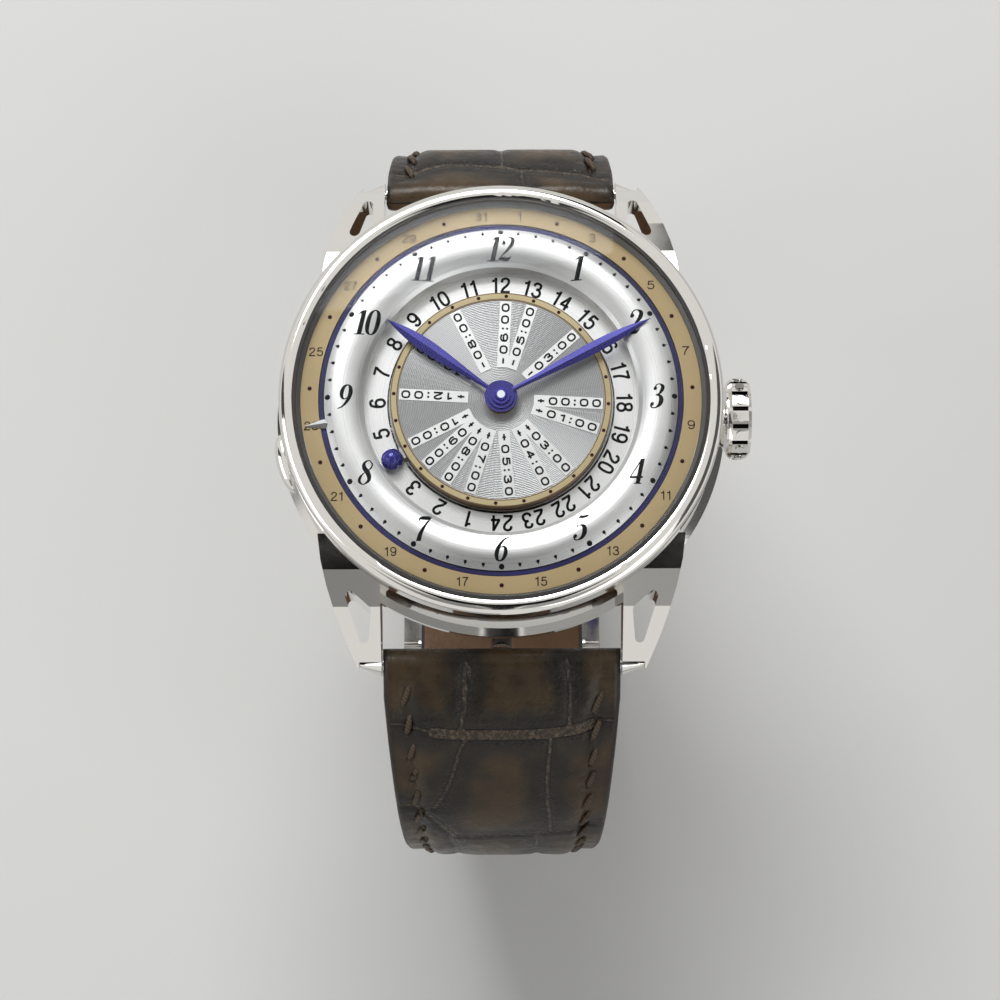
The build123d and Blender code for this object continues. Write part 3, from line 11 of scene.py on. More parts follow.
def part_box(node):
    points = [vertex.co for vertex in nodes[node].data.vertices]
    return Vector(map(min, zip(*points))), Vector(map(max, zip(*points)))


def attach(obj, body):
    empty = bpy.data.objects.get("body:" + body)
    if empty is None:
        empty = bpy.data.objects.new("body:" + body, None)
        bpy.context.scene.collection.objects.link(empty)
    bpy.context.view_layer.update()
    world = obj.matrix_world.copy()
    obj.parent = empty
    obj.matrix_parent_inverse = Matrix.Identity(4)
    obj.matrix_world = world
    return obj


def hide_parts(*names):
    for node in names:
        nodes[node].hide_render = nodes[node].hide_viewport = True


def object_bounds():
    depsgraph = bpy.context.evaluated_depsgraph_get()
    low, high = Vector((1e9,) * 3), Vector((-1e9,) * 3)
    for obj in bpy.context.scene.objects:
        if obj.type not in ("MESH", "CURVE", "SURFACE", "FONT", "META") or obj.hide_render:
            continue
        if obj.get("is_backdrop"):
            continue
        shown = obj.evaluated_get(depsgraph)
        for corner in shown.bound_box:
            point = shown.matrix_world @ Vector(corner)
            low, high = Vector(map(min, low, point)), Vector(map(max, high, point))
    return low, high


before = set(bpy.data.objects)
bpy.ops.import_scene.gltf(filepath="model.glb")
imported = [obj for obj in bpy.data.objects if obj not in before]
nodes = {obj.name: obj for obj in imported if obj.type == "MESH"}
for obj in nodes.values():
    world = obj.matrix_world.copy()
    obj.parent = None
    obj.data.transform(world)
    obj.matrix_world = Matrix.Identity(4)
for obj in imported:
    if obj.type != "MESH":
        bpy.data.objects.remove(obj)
cadLow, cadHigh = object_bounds()
mm = 0.001
print("frame loaded with", len(nodes), "nodes")


# small helpers

def linear(hexColour):
    # sRGB hex to the linear colour that the shaders take
    parts = [int(hexColour[i:i + 2], 16) / 255 for i in (1, 3, 5)]
    return [c / 12.92 if c <= 0.04045 else ((c + 0.055) / 1.055) ** 2.4 for c in parts] + [1.0]


def perMetre(sizeInMm):
    # texture scale for a pattern that repeats every sizeInMm
    return 1000 / sizeInMm


def wire(node, inputs):
    # inputs by name or in order; each takes a plain value, a socket or another node's first output
    for name, value in inputs.items() if isinstance(inputs, dict) else enumerate(inputs):
        if isinstance(value, bpy.types.Node):
            value = value.outputs[0]
        if isinstance(value, bpy.types.NodeSocket):
            node.id_data.links.new(value, node.inputs[name])
        else:
            node.inputs[name].default_value = value


def addNode(tree, kind, inputs=(), steps=(), **settings):
    # a node with its settings and links; steps are the (place, hex colour) of a colour ramp
    new = tree.nodes.new("ShaderNode" + kind)
    for name, value in settings.items():
        setattr(new, name, value)
    if steps:
        elements = new.color_ramp.elements
        while len(elements) < len(steps):
            elements.new(0.5)
        for element, (place, hexColour) in zip(elements, steps):
            element.position = place
            element.color = linear(hexColour)
    wire(new, inputs)
    return new


def newMaterial(name, values):
    # the last thing it gives back is the piece's own coordinates
    material = bpy.data.materials.new(name)
    material.use_nodes = True
    tree = material.node_tree
    shader = tree.nodes["Principled BSDF"]
    wire(shader, values)
    return material, tree, shader, addNode(tree, "TexCoord").outputs["Object"]


def axisDistance(tree, place, across=(1, 1, 0)):
    # how far each point is from an axis, in metres; across keeps the directions square to it
    flat = addNode(tree, "VectorMath", (place, across), operation="MULTIPLY")
    return addNode(tree, "VectorMath", (flat,), operation="LENGTH").outputs["Value"]


def dress(nodeNames, material):
    for name in nodeNames:
        if not nodes[name].material_slots:
            nodes[name].data.materials.append(material)
        for slot in nodes[name].material_slots:
            slot.material = material


def turnAngles(count):
    # even steps round a full turn
    return [2 * math.pi * i / count for i in range(count)]


def clockPoint(deg, r, side=0.0):
    # a point at r from the dial's centre towards deg, moved sideways
    x, y = math.sin(math.radians(deg)), math.cos(math.radians(deg))
    return r * x - side * y, r * y + side * x


def ringQuads(rings, around, first=0, joined=False, turned=False):
    # quads between neighbouring rings of points; joined rings run back to the first one
    quads = []
    for i in range(rings if joined else rings - 1):
        here, there = first + i * around, first + (i + 1) % rings * around
        for k in range(around):
            j = (k + 1) % around
            quad = (here + k, here + j, there + j, there + k)
            quads.append(quad[:1] + quad[:0:-1] if turned else quad)
    return quads


def makePiece(name, points, faces, materials, body=None, faceMaterial=None, smooth=True, closed=True):
    # points in millimetres; a piece with a body rides on it
    mesh = bpy.data.meshes.new(name)
    mesh.from_pydata([[c * mm for c in p] for p in points], [], faces)
    for material in materials:
        mesh.materials.append(material)
    mesh.polygons.foreach_set("material_index", faceMaterial or [0] * len(faces))
    mesh.polygons.foreach_set("use_smooth", [smooth] * len(faces))
    mesh.update()
    piece = bpy.data.objects.new(name, mesh)
    bpy.context.scene.collection.objects.link(piece)
    if body:
        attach(piece, body)
    if closed:
        # closed meshes get their normals outwards, as the cuts and the glossy shading need
        shape = bmesh.new()
        shape.from_mesh(mesh)
        bmesh.ops.recalc_face_normals(shape, faces=shape.faces)
        shape.to_mesh(mesh)
        shape.free()
    return piece


# camera at the photograph's angle, found from the dial's twelve hour dots; places in millimetres

camera = {
    "place": (0.0, -61.08, 225.67),
    "elevation": 74.069,
    "roll": -0.194,
    "focalPixels": 2443.2,
    "dialCentre": (501.025, 396.705),
    "picture": 1000,
    "sensor": 36,
    "nearest": 0.01,
    "farthest": 20,
}


def makeCamera(spec):
    data = bpy.data.cameras.new("camera")
    data.sensor_width = spec["sensor"]
    data.lens = spec["focalPixels"] / spec["picture"] * spec["sensor"]
    data.clip_start = spec["nearest"]
    data.clip_end = spec["farthest"]
    elevation = math.radians(spec["elevation"])
    look = Vector((0, math.cos(elevation), -math.sin(elevation)))
    right = Vector((1, 0, 0))
    yaw, pitch = (math.atan((c - spec["picture"] / 2) / spec["focalPixels"]) for c in spec["dialCentre"])
    turn = (Matrix.Rotation(yaw, 3, "Y") @ Matrix.Rotation(-pitch, 3, "X")
            @ Matrix.Rotation(math.radians(spec["roll"]), 3, "Z"))
    rows = turn @ Matrix((right, -right.cross(look), look))
    holder = bpy.data.objects.new("camera", data)
    holder.matrix_world = Matrix.Translation(Vector(spec["place"]) * mm) @ Matrix(
        (rows[0], -rows[1], -rows[2])).transposed().to_4x4()
    bpy.context.scene.collection.objects.link(holder)
    bpy.context.scene.camera = holder


makeCamera(camera)
bpy.context.scene.view_settings.view_transform = "Standard"

# studio: pale floor, soft lights, pale surroundings

studio = {
    "floorColour": "#E4E4E2",
    "floorSize": 3000,
    "floorBelow": 0.2,
    "paleColour": "#ECEBE8",
    "ambient": 0.24,
    "lights": [
        # name, place in m, width, height, watts; all aim at the watch
        ("key", (-0.10, 0.42, 0.50), 0.42, 0.30, 3.2),
        ("fill", (0.30, -0.35, 0.45), 0.50, 0.40, 0.7),
        ("side", (-0.45, -0.05, 0.30), 0.30, 0.30, 0.5),
    ],
    "panels": [
        # level cards close above the watch: name, low and high x, low and high y in mm, colour
        ("panelCamera", -40, 40, -82, 8, "#161616"),
        ("panelStrip", -15, 15, -270, -82, "#101010"),
        ("panelGreyRight", 19, 120, -260, -84, "#A4A4A2"),
        ("panelGreyLeft", -120, -19, -260, -84, "#8E8E8C"),
    ],
    "panelHeight": 222,
    "cards": [
        # name, azimuth from the six o'clock side and elevation, width and height in degrees, colour
        ("cardRight", 90.0, 38.0, 60.0, 34.0, "#5A5A5A"),
        ("cardLeft", -92.0, 34.0, 44.0, 34.0, "#4A4A4A"),
        ("cardBack", 165.0, 34.0, 20.0, 22.0, "#141414"),
    ],
    "cardDistance": 900,
    "cardSteps": (8, 4),
}


def makeCard(name, points, faces, colour):
    # a card that only polished surfaces see: it gives the metal its dark lines
    paper = newMaterial("card, " + name, {
        "Base Color": linear("#000000"), "Specular IOR Level": 0.0,
        "Emission Color": linear(colour), "Emission Strength": 1.0})[0]
    card = makePiece(name, points, faces, [paper], smooth=False, closed=False)
    for sight in ("camera", "diffuse", "transmission", "shadow"):
        setattr(card, "visible_" + sight, False)
    card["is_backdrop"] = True


def levelSheet(lowX, highX, lowY, highY, z):
    return [(lowX, lowY, z), (highX, lowY, z), (highX, highY, z), (lowX, highY, z)], [(0, 1, 2, 3)]


def makeStudio(spec):
    size = spec["floorSize"] / 2
    paper = newMaterial("matt studio paper", {
        "Roughness": 0.9, "Specular IOR Level": 0.2, "Base Color": linear(spec["floorColour"])})[0]
    makePiece("floor", *levelSheet(-size, size, -size, size, cadLow.z / mm - spec["floorBelow"]),
                       [paper], smooth=False, closed=False)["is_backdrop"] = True

    world = bpy.data.worlds.new("studio")
    bpy.context.scene.world = world
    world.use_nodes = True
    tree = world.node_tree
    tree.nodes.clear()
    pale = linear(spec["paleColour"])
    rays = addNode(tree, "LightPath").outputs
    seen = addNode(tree, "Math", (rays["Is Camera Ray"], rays["Is Glossy Ray"]), operation="MAXIMUM")
    seen = addNode(tree, "Math", (seen, rays["Is Transmission Ray"]), operation="MAXIMUM")
    ambient, shown = (addNode(tree, "Background", {"Color": pale, "Strength": strength})
                      for strength in (spec["ambient"], 1.0))
    addNode(tree, "OutputWorld", {"Surface": addNode(tree, "MixShader", (seen, ambient, shown))})

    for name, *edges, colour in spec["panels"]:
        makeCard(name, *levelSheet(*edges, spec["panelHeight"]), colour)
    wide, high = spec["cardSteps"]
    for name, azimuth, elevation, width, height, colour in spec["cards"]:
        points = []
        for i in range(wide + 1):
            for k in range(high + 1):
                a = math.radians(azimuth + (i / wide - 0.5) * width)
                e = math.radians(elevation + (k / high - 0.5) * height)
                points.append([spec["cardDistance"] * c for c in (
                    math.sin(a) * math.cos(e), -math.cos(a) * math.cos(e), math.sin(e))])
        faces = [quad for i, quad in enumerate(ringQuads(wide + 1, high + 1)) if i % (high + 1) < high]
        makeCard(name, points, faces, colour)

    for name, place, width, height, watts in spec["lights"]:
        data = bpy.data.lights.new(name, "AREA")
        data.shape = "RECTANGLE"
        data.size = width
        data.size_y = height
        data.energy = watts
        lamp = bpy.data.objects.new(name, data)
        lamp.location = place
        lamp.rotation_mode = "QUATERNION"
        lamp.rotation_quaternion = (-Vector(place)).to_track_quat("-Z", "Y")
        bpy.context.scene.collection.objects.link(lamp)


makeStudio(studio)
print("camera and studio made")

# metals of the case, movement and buckle

caseMetal = {
    "colour": "#E3E1DD",
    "shine": 0.055,
    "shineSpread": 0.05,
    "hairlineMm": 2.1,
    "cloudMm": 3.0,
}


def polishedWhiteGold(name, spec):
    # mirror polish, with the faint uneven sheen and hairlines that wear leaves in it
    material, tree, shader, place = newMaterial(name, {"Base Color": linear(spec["colour"]), "Metallic": 1.0})
    clouds = addNode(tree, "TexNoise", {"Vector": place, "Scale": perMetre(spec["cloudMm"]), "Detail": 3.0})
    stretched = addNode(tree, "Mapping", {
        "Vector": place, "Rotation": (0.3, 0.2, 0.7), "Scale": (1.0, 12.0, 1.0)})
    lines = addNode(tree, "TexNoise", {
        "Vector": stretched, "Scale": perMetre(spec["hairlineMm"]), "Detail": 2.0})
    wire(shader, {
        "Roughness": addNode(tree, "MapRange", (
            clouds, 0.35, 0.7, spec["shine"], spec["shine"] + spec["shineSpread"])),
        "Normal": addNode(tree, "Bump", {"Strength": 0.05, "Distance": 0.00002, "Height": lines})})
    return material, tree, shader, place


caseGold = polishedWhiteGold("polished white gold", caseMetal)[0]
dress(["middle_case", "case_back_ring", "bezel", "lugs", "lug_bosses", "buckle_frame", "buckle_tongue"],
      caseGold)

crownShape = {
    "axisZ": 3.75,
    "midX": 22.235,
    "straight": 1.45,
    "shadeFrom": 3.4,
    "shadeTo": 3.9,
}


def flutedGold(spec, metal):
    # the crown: polished, with painted shade darkening the flutes and round the foot of each stud
    material, tree, shader, place = polishedWhiteGold("polished white gold, fluted", metal)
    bright = metal["colour"]
    middle = (spec["midX"] * mm, 0, spec["axisZ"] * mm)
    moved = addNode(tree, "VectorMath", (place, middle), operation="SUBTRACT")
    radius = axisDistance(tree, moved, (0, 1, 1))
    share = addNode(tree, "MapRange", (radius, spec["shadeFrom"] * mm, spec["shadeTo"] * mm))
    # painted shade: dark bands where the flutes and the studs' feet sink in
    recessShade = addNode(tree, "ValToRGB", (share,), [
        (0.0, "#161614"), (0.45, "#2A2A28"), (0.57, bright), (0.70, bright), (0.74, "#3A3A38"),
        (0.84, "#3A3A38"), (0.88, bright)])
    along = addNode(tree, "SeparateXYZ", (moved,)).outputs["X"]
    inside = addNode(tree, "Math", (along, 0.0, spec["straight"] / 2 * mm), operation="COMPARE")
    mixed = addNode(tree, "Mix", {0: inside, 6: linear(bright), 7: recessShade}, data_type="RGBA")
    wire(shader, {"Base Color": mixed.outputs[2]})
    return material


dress(["crown"], flutedGold(crownShape, caseMetal))

pusherShape = {
    "deg": 255.6,
    "z": 7.2,
    "base": 20.3,
    "rise": 1.05,
    "length": 5.6,
    "height": 2.2,
    "stemRadius": 0.5,
    "stemFrom": 0.1,
    "stemLength": 4.6,
    "around": 48,
    "rings": 14,
    "stemCorners": 24,
}


def softPower(value, power):
    # a power that keeps the sign, for outlines between an ellipse and a box
    return math.copysign(abs(value) ** power, value)


def makePusher(spec):
    # a long push piece with a smooth half-moon outline, on its round stem
    around, rings, corners = spec["around"], spec["rings"], spec["stemCorners"]
    places = []
    for k in range(rings):
        f = math.radians(90 * k / rings)
        for a in turnAngles(around):
            places.append((spec["length"] / 2 * math.cos(f) * softPower(math.cos(a), 0.95),
                           spec["height"] / 2 * math.cos(f) ** 0.6 * softPower(math.sin(a), 0.75),
                           spec["rise"] * math.sin(f) ** 0.9))
    places.append((0, 0, spec["rise"]))
    first, last = len(places), (rings - 1) * around
    for h in (spec["stemFrom"], -spec["stemLength"]):
        places += [(spec["stemRadius"] * math.cos(a), spec["stemRadius"] * math.sin(a), h)
                   for a in turnAngles(corners)]
    points = [(*clockPoint(spec["deg"], spec["base"] + h, u), spec["z"] + v) for u, v, h in places]
    faces = ringQuads(rings, around)
    faces += [(last + i, last + (i + 1) % around, rings * around) for i in range(around)]
    faces.append(tuple(range(around - 1, -1, -1)))
    faces += ringQuads(2, corners, first)
    faces.append(tuple(range(first, first + corners)))
    faces.append(tuple(range(first + 2 * corners - 1, first + corners - 1, -1)))
    piece = makePiece("rounded_pusher", points, faces, [caseGold], "pusher")
    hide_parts("pusher")


makePusher(pusherShape)


def turnedMetal(name, colour, metallic, roughness, ringMm, depth, centre=(0, 0)):
    # fine rings left by the lathe, round the piece's own axis
    material, tree, shader, place = newMaterial(name, {
        "Base Color": linear(colour), "Metallic": metallic, "Roughness": roughness})
    moved = addNode(tree, "VectorMath", (place, (centre[0] * mm, centre[1] * mm, 0)), operation="SUBTRACT")
    radius = axisDistance(tree, moved)
    rings = addNode(tree, "TexNoise", {
        "Vector": addNode(tree, "CombineXYZ", (radius,)), "Scale": perMetre(ringMm), "Detail": 2.0})
    wire(shader, {
        "Roughness": addNode(tree, "MapRange", (rings, 0.3, 0.7, roughness - 0.05, roughness + 0.08)),
        "Normal": addNode(tree, "Bump", {"Strength": depth, "Distance": 0.00002, "Height": rings})})
    return material, tree, shader, moved, radius


# steel parts: fine turned, bright
dress(["spring_bars", "winding_stem", "setting_collar", "buckle_bar", "pallet_fork", "escape_wheel",
       "hairspring", "pusher_spring", "ball_carrier"],
      turnedMetal("turned steel", "#B9B9BA", 1.0, 0.2, 0.12, 0.3)[0])
# screws: heat blued, as the hands are
dress(["movement_screws"], turnedMetal("blued steel screws", "#3A3C8C", 1.0, 0.18, 0.12, 0.2)[0])
dress(["case_back_screws"], turnedMetal("polished steel screws", "#CFCFD0", 1.0, 0.12, 0.12, 0.2)[0])


snailing = {
    "colour": "#C4C4C6",
    "ringMm": 0.3,
    "bendPerMetre": 260.0,
}


def sunrayWheel(name, spec, centre, rays):
    # snailed steel: rays that turn the light as a fan round the wheel's arbor
    material, tree, shader, moved, radius = turnedMetal(
        name, spec["colour"], 1.0, 0.24, spec["ringMm"], 0.1, centre)
    parts = addNode(tree, "SeparateXYZ", (moved,)).outputs
    angle = addNode(tree, "Math", (parts["Y"], parts["X"]), operation="ARCTAN2")
    bend = addNode(tree, "Math", (radius, spec["bendPerMetre"], angle), operation="MULTIPLY_ADD")
    waves = addNode(tree, "Math", (bend, float(rays)), operation="MULTIPLY")
    swing = addNode(tree, "Math", (waves,), operation="SINE")
    wire(shader, {"Normal": addNode(tree, "Bump", {"Strength": 0.3, "Distance": 0.00002, "Height": swing})})
    return material


def nodeCentre(name):
    low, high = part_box(name)
    return (low.x + high.x) / 2 / mm, (low.y + high.y) / 2 / mm


for wheel, title, rays in (("ratchet_wheel", "snailed ratchet steel", 60),
                           ("crown_wheel", "snailed crown wheel steel", 50)):
    dress([wheel], sunrayWheel(title, snailing, nodeCentre(wheel), rays))

# gilt brass wheels, circular grained round each arbor
for wheel in ["barrel", "centre_wheel", "third_wheel", "fourth_wheel", "cannon_pinion", "minute_wheel",
              "hour_wheel", "city_wheel", "balance_wheel"]:
    dress([wheel], turnedMetal("gilt brass, " + wheel.replace("_", " "), "#C9A04E", 1.0, 0.26, 0.16, 0.35,
                               nodeCentre(wheel))[0])

bridgeFinish = {
    "colour": "#C3C1BC",
    "stripeMm": 1.5,
    "stripeDeg": 35,
    "grainMm": 0.10,
    "grainShare": 0.12,
}


def stripedBridge(spec):
    # rhodium plated brass with wide parallel stripes, as a movement maker cuts them
    material, tree, shader, place = newMaterial("rhodium plated, striped", {
        "Base Color": linear(spec["colour"]), "Metallic": 1.0, "Roughness": 0.26})
    turned = addNode(tree, "Mapping", {"Vector": place, "Rotation": (0, 0, math.radians(spec["stripeDeg"]))})
    parts = addNode(tree, "SeparateXYZ", (turned,))
    count = addNode(tree, "Math", (parts, perMetre(spec["stripeMm"])), operation="MULTIPLY")
    saw = addNode(tree, "Math", (count,), operation="FRACT")
    bow = addNode(tree, "Math", (saw, 0.5), operation="PINGPONG")
    fine = addNode(tree, "Mapping", {"Vector": turned, "Scale": (0.25, 1.0, 1.0)})
    grain = addNode(tree, "TexNoise", {"Vector": fine, "Scale": perMetre(spec["grainMm"]), "Detail": 2.0})
    height = addNode(tree, "Math", (grain, spec["grainShare"], bow), operation="MULTIPLY_ADD")
    wire(shader, {"Normal": addNode(tree, "Bump", {"Strength": 0.7, "Distance": 0.00012, "Height": height})})
    return material


dress(["barrel_bridge", "train_bridge", "balance_cock"], stripedBridge(bridgeFinish))


plateGrain = {
    "colour": "#B5B3AE",
    "spotMm": 1.1,
    "ringsPerSpot": 40.0,
}


def grainedPlate(spec):
    # round overlapping grain on the plates behind the bridges
    material, tree, shader, place = newMaterial("rhodium plated, circular grain", {
        "Base Color": linear(spec["colour"]), "Metallic": 1.0, "Roughness": 0.3})
    spots = addNode(tree, "TexVoronoi", {"Vector": place, "Scale": perMetre(spec["spotMm"])})
    rings = addNode(tree, "Math", (spots, spec["ringsPerSpot"]), operation="MULTIPLY")
    swing = addNode(tree, "Math", (rings,), operation="SINE")
    wire(shader, {"Normal": addNode(tree, "Bump", {"Strength": 0.35, "Distance": 0.00004, "Height": swing})})
    return material


dress(["casing_ring", "mainplate", "module_plate"], grainedPlate(plateGrain))


def cloudedFinish(name, cloudMm, dark, light, values):
    # smooth even finish whose tone drifts a little; values set the shader
    material, tree, shader, place = newMaterial(name, values)
    clouds = addNode(tree, "TexNoise", {"Vector": place, "Scale": perMetre(cloudMm)})
    wire(shader, {"Base Color": addNode(tree, "ValToRGB", (clouds,), [(0.3, dark), (0.7, light)])})
    return material


# synthetic ruby bearings: deep red, glassy, a touch uneven inside
dress(["jewels"], cloudedFinish("polished ruby", 0.5, "#7A0A22", "#B01A3C",
                                  {"Roughness": 0.05, "IOR": 1.76}))


def grainedDull(name, colour, grainMm, dull, duller, values):
    # an even colour whose dullness follows a fine grain
    material, tree, shader, place = newMaterial(name, {"Base Color": linear(colour), **values})
    grain = addNode(tree, "TexNoise", {"Vector": place, "Scale": perMetre(grainMm)})
    wire(shader, {"Roughness": addNode(tree, "MapRange", {"Value": grain, "To Min": dull, "To Max": duller})})
    return material


# moulded grey rubber, dull with a fine grain
dress(["crystal_gasket"], grainedDull("grey gasket rubber", "#2E2D2C", 0.15, 0.6, 0.85, {}))


def sapphire():
    # coated sapphire: clear all through, with a faint reflection that grows towards its edge
    material, tree, shader, place = newMaterial("coated sapphire", {
        "Base Color": linear("#F4F7FA"), "Metallic": 1.0, "Roughness": 0.02})
    wipe = addNode(tree, "TexNoise", {"Vector": place, "Scale": perMetre(9.0)})
    share = addNode(tree, "Math", (addNode(tree, "Fresnel", {"IOR": 1.45}),
                                   addNode(tree, "MapRange", {"Value": wipe, "To Min": 0.14, "To Max": 0.2})),
                    operation="MULTIPLY")
    clear = addNode(tree, "BsdfTransparent", {"Color": linear("#FBFCFD")})
    wire(tree.nodes["Material Output"], {"Surface": addNode(tree, "MixShader", (share, clear, shader))})
    return material


dress(["crystal", "case_back_crystal"], sapphire())
print("metals and glass made")

# dial

dialFinish = {
    "silver": "#DAD8D5",
    "silverDark": "#D5D3D0",
    "silverLight": "#DEDCD9",
    "ringMm": 0.10,
    "waveMm": 0.16,
    # painted shade in the engine-turned cut's troughs and painted highlight on its crests
    "waveShade": "#8F8E8C",
    "waveHighlight": "#ABAAA8",
    "rays": 96,
}

# grey flange between bezel and dial, satin turned
dress(["inner_flange"], turnedMetal("satin grey flange", "#6A6763", 0.6, 0.42, 0.12, 0.3)[0])


def satinSilver(name, spec):
    # silvered brass, circular satin: soft, bright, with rings too fine to see one by one
    material, tree, shader, place = turnedMetal(name, spec["silver"], 0.93, 0.3, spec["ringMm"], 0.25)[:4]
    clouds = addNode(tree, "TexNoise", {"Vector": place, "Scale": perMetre(4.0), "Detail": 4.0})
    wire(shader, {"Base Color": addNode(tree, "ValToRGB", (clouds,), [
        (0.3, spec["silverDark"]), (0.7, spec["silverLight"])])})
    return material


dress(["hour_ring"], satinSilver("satin silver, hour ring", dialFinish))
dress(["hours24_ring", "dial_plate"], satinSilver("satin silver, inner ring", dialFinish))
dress(["zone_plaques"], satinSilver("smooth silver plaques", dialFinish))


def engineTurned(spec):
    # silvered disc cut on a rose engine: close rings whose height swings with the angle.
    # The real rings are about 0.1 mm apart; they are drawn wider so that they show.
    material, tree, shader, place = newMaterial("engine-turned silver", {"Metallic": 0.6, "Roughness": 0.34})
    radius = axisDistance(tree, place)
    parts = addNode(tree, "SeparateXYZ", (place,)).outputs
    angle = addNode(tree, "Math", (parts["Y"], parts["X"]), operation="ARCTAN2")
    lobes = addNode(tree, "Math", (angle, float(spec["rays"])), operation="MULTIPLY")
    swing = addNode(tree, "Math", (lobes,), operation="SINE")
    phase = addNode(tree, "Math", (radius, perMetre(spec["waveMm"]) * 2 * math.pi), operation="MULTIPLY")
    shifted = addNode(tree, "Math", (swing, 0.5, phase), operation="MULTIPLY_ADD")
    cut = addNode(tree, "Math", (shifted,), operation="SINE")
    shade = addNode(tree, "MapRange", (cut, -1.0, 1.0))
    # painted shade and highlight: the colour is darker in the cut's troughs and lighter on its crests
    wire(shader, {
        "Base Color": addNode(tree, "ValToRGB", (shade,), [
            (0.0, spec["waveShade"]), (1.0, spec["waveHighlight"])]),
        "Normal": addNode(tree, "Bump", {"Strength": 0.35, "Distance": 0.00003, "Height": cut})})
    return material


dress(["zone_disc"], engineTurned(dialFinish))


def satinPaint(name, light, dark, lines=(), lineColour="#6E5030", lineHalfMm=0.05):
    # thin champagne lacquer over turned brass; lines are the radii, in mm, of its dark border lines
    material, tree, shader, place, radius = turnedMetal(name, light, 0.15, 0.42, 0.12, 0.25)
    clouds = addNode(tree, "TexNoise", {"Vector": place, "Scale": perMetre(7.0)})
    base = addNode(tree, "ValToRGB", (clouds,), [(0.25, dark), (0.75, light)])
    for line in lines:
        inside = addNode(tree, "Math", (radius, line * mm, lineHalfMm * mm), operation="COMPARE")
        base = addNode(tree, "Mix", {0: inside, 6: base, 7: linear(lineColour)}, data_type="RGBA").outputs[2]
    wire(shader, {"Base Color": base})
    return material


dress(["zone_rim"], satinPaint("champagne rim lacquer", "#CDBC8E", "#BDA97C", [9.52, 10.09]))
dress(["date_ring"], satinPaint("tan date ring lacquer", "#BFA679", "#B39A6C"))

for name, title, cloudMm, dark, light, metallic, roughness in (
        ("date_pointer_ring", "heat blued ring", 7.0, "#171438", "#24205A", 0.4, 0.4),
        ("ball_night_half", "blue gloss lacquer", 0.7, "#302B80", "#3C3796", 0.2, 0.12),
        ("ball_day_half", "polished pale steel", 0.7, "#9C9CA6", "#B4B4BC", 0.9, 0.08)):
    dress([name], cloudedFinish(title, cloudMm, dark, light,
                                {"Metallic": metallic, "Roughness": roughness}))


def facetedBlade(name, stations, heights, deg, ring, materials, body):
    # a blade with a ridge along its middle, which replaces the node that is named as its body.
    # Stations are (distance out, half width, ridge share) and heights are its low side, edge and ridge,
    # in millimetres; ring is the (bore, outer radius, top) of the flat disc round the centre, or None.
    low, edge, ridge = heights
    points = []
    for r, half, share in stations:
        crest = edge + (ridge - edge) * share
        for side, z in ((half, low), (half, edge), (0, crest), (-half, edge), (-half, low)):
            points.append((*clockPoint(deg, r, side), z))
    count = len(points)
    faces = ringQuads(len(stations), 5, turned=True)
    faces += [(0, 1, 2, 3, 4), tuple(range(count - 1, count - 6, -1))]
    faceMaterial = [2, 0, 1, 2, 2] * (len(stations) - 1) + [2, 2]
    if ring:
        bore, outer, top = ring
        for a in turnAngles(48):
            for r, z in ((bore, low), (outer, low), (outer, top), (bore, top)):
                points.append((r * math.cos(a), r * math.sin(a), z))
        disc = ringQuads(48, 4, count, joined=True, turned=True)
        faces += disc
        faceMaterial += [2] * len(disc)
    piece = makePiece(name, points, faces, materials, body, faceMaterial, smooth=False)
    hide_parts(body)


# heat blued steel: violet blue, polished; the facet away from the light takes a darker copy of the blue,
# painted shade, and the facet towards it a lighter copy, painted highlight
bluedFacets = [cloudedFinish(title, 2.5, dark, light, {"Metallic": 0.35, "Roughness": 0.42})
               for title, dark, light in (
    ("heat blued steel, facet with painted shade", "#27226C", "#2E2A7A"),
    ("heat blued steel, facet with painted highlight", "#353084", "#3D3990"),
    ("heat blued steel", "#2D2876", "#353084"))]
handShapes = {
    # facets say which of the blues the left facet, the right facet and the sides take
    "hour_hand": {"deg": 305.2, "reach": 12.7, "half": 0.65, "low": 11.85, "ring": (0.97, 1.5), "from": 1.2,
                  "facets": (0, 1, 2)},
    "minute_hand": {"deg": 61.9, "reach": 15.5, "half": 0.575, "low": 12.05, "ring": (0.57, 1.2), "from": 0.9,
                    "facets": (1, 0, 2)},
}
handLeaf = {
    "stations": 40,
    "neck": 0.2,
    "widestAt": 0.62,
    "tip": 0.02,
    "edgeHeight": 0.02,
    "thick": 0.12,
    "ridgeFrom": 0.35,
    "discStep": 0.01,
}
for name, spec in handShapes.items():
    stations = []
    for i in range(handLeaf["stations"] + 1):
        t = i / handLeaf["stations"]
        widest = handLeaf["widestAt"]
        if t < widest:
            swell = math.sin(math.pi * t / widest / 2) ** 1.5
        else:
            swell = math.cos(math.pi / 2 * (t - widest) / (1 - widest)) ** 0.9
        neck = handLeaf["neck"] * (1 - t)
        half = max(handLeaf["tip"], neck + (spec["half"] - neck) * swell)
        r = spec["from"] + (spec["reach"] - spec["from"]) * t
        stations.append((r, half, min(1.0, handLeaf["ridgeFrom"] + half / spec["half"])))
    low, top = spec["low"], spec["low"] + handLeaf["thick"]
    facetedBlade("faceted_" + name, stations, (low, low + handLeaf["edgeHeight"], top), spec["deg"],
                 (*spec["ring"], top - handLeaf["discStep"]), [bluedFacets[i] for i in spec["facets"]],
                 name)
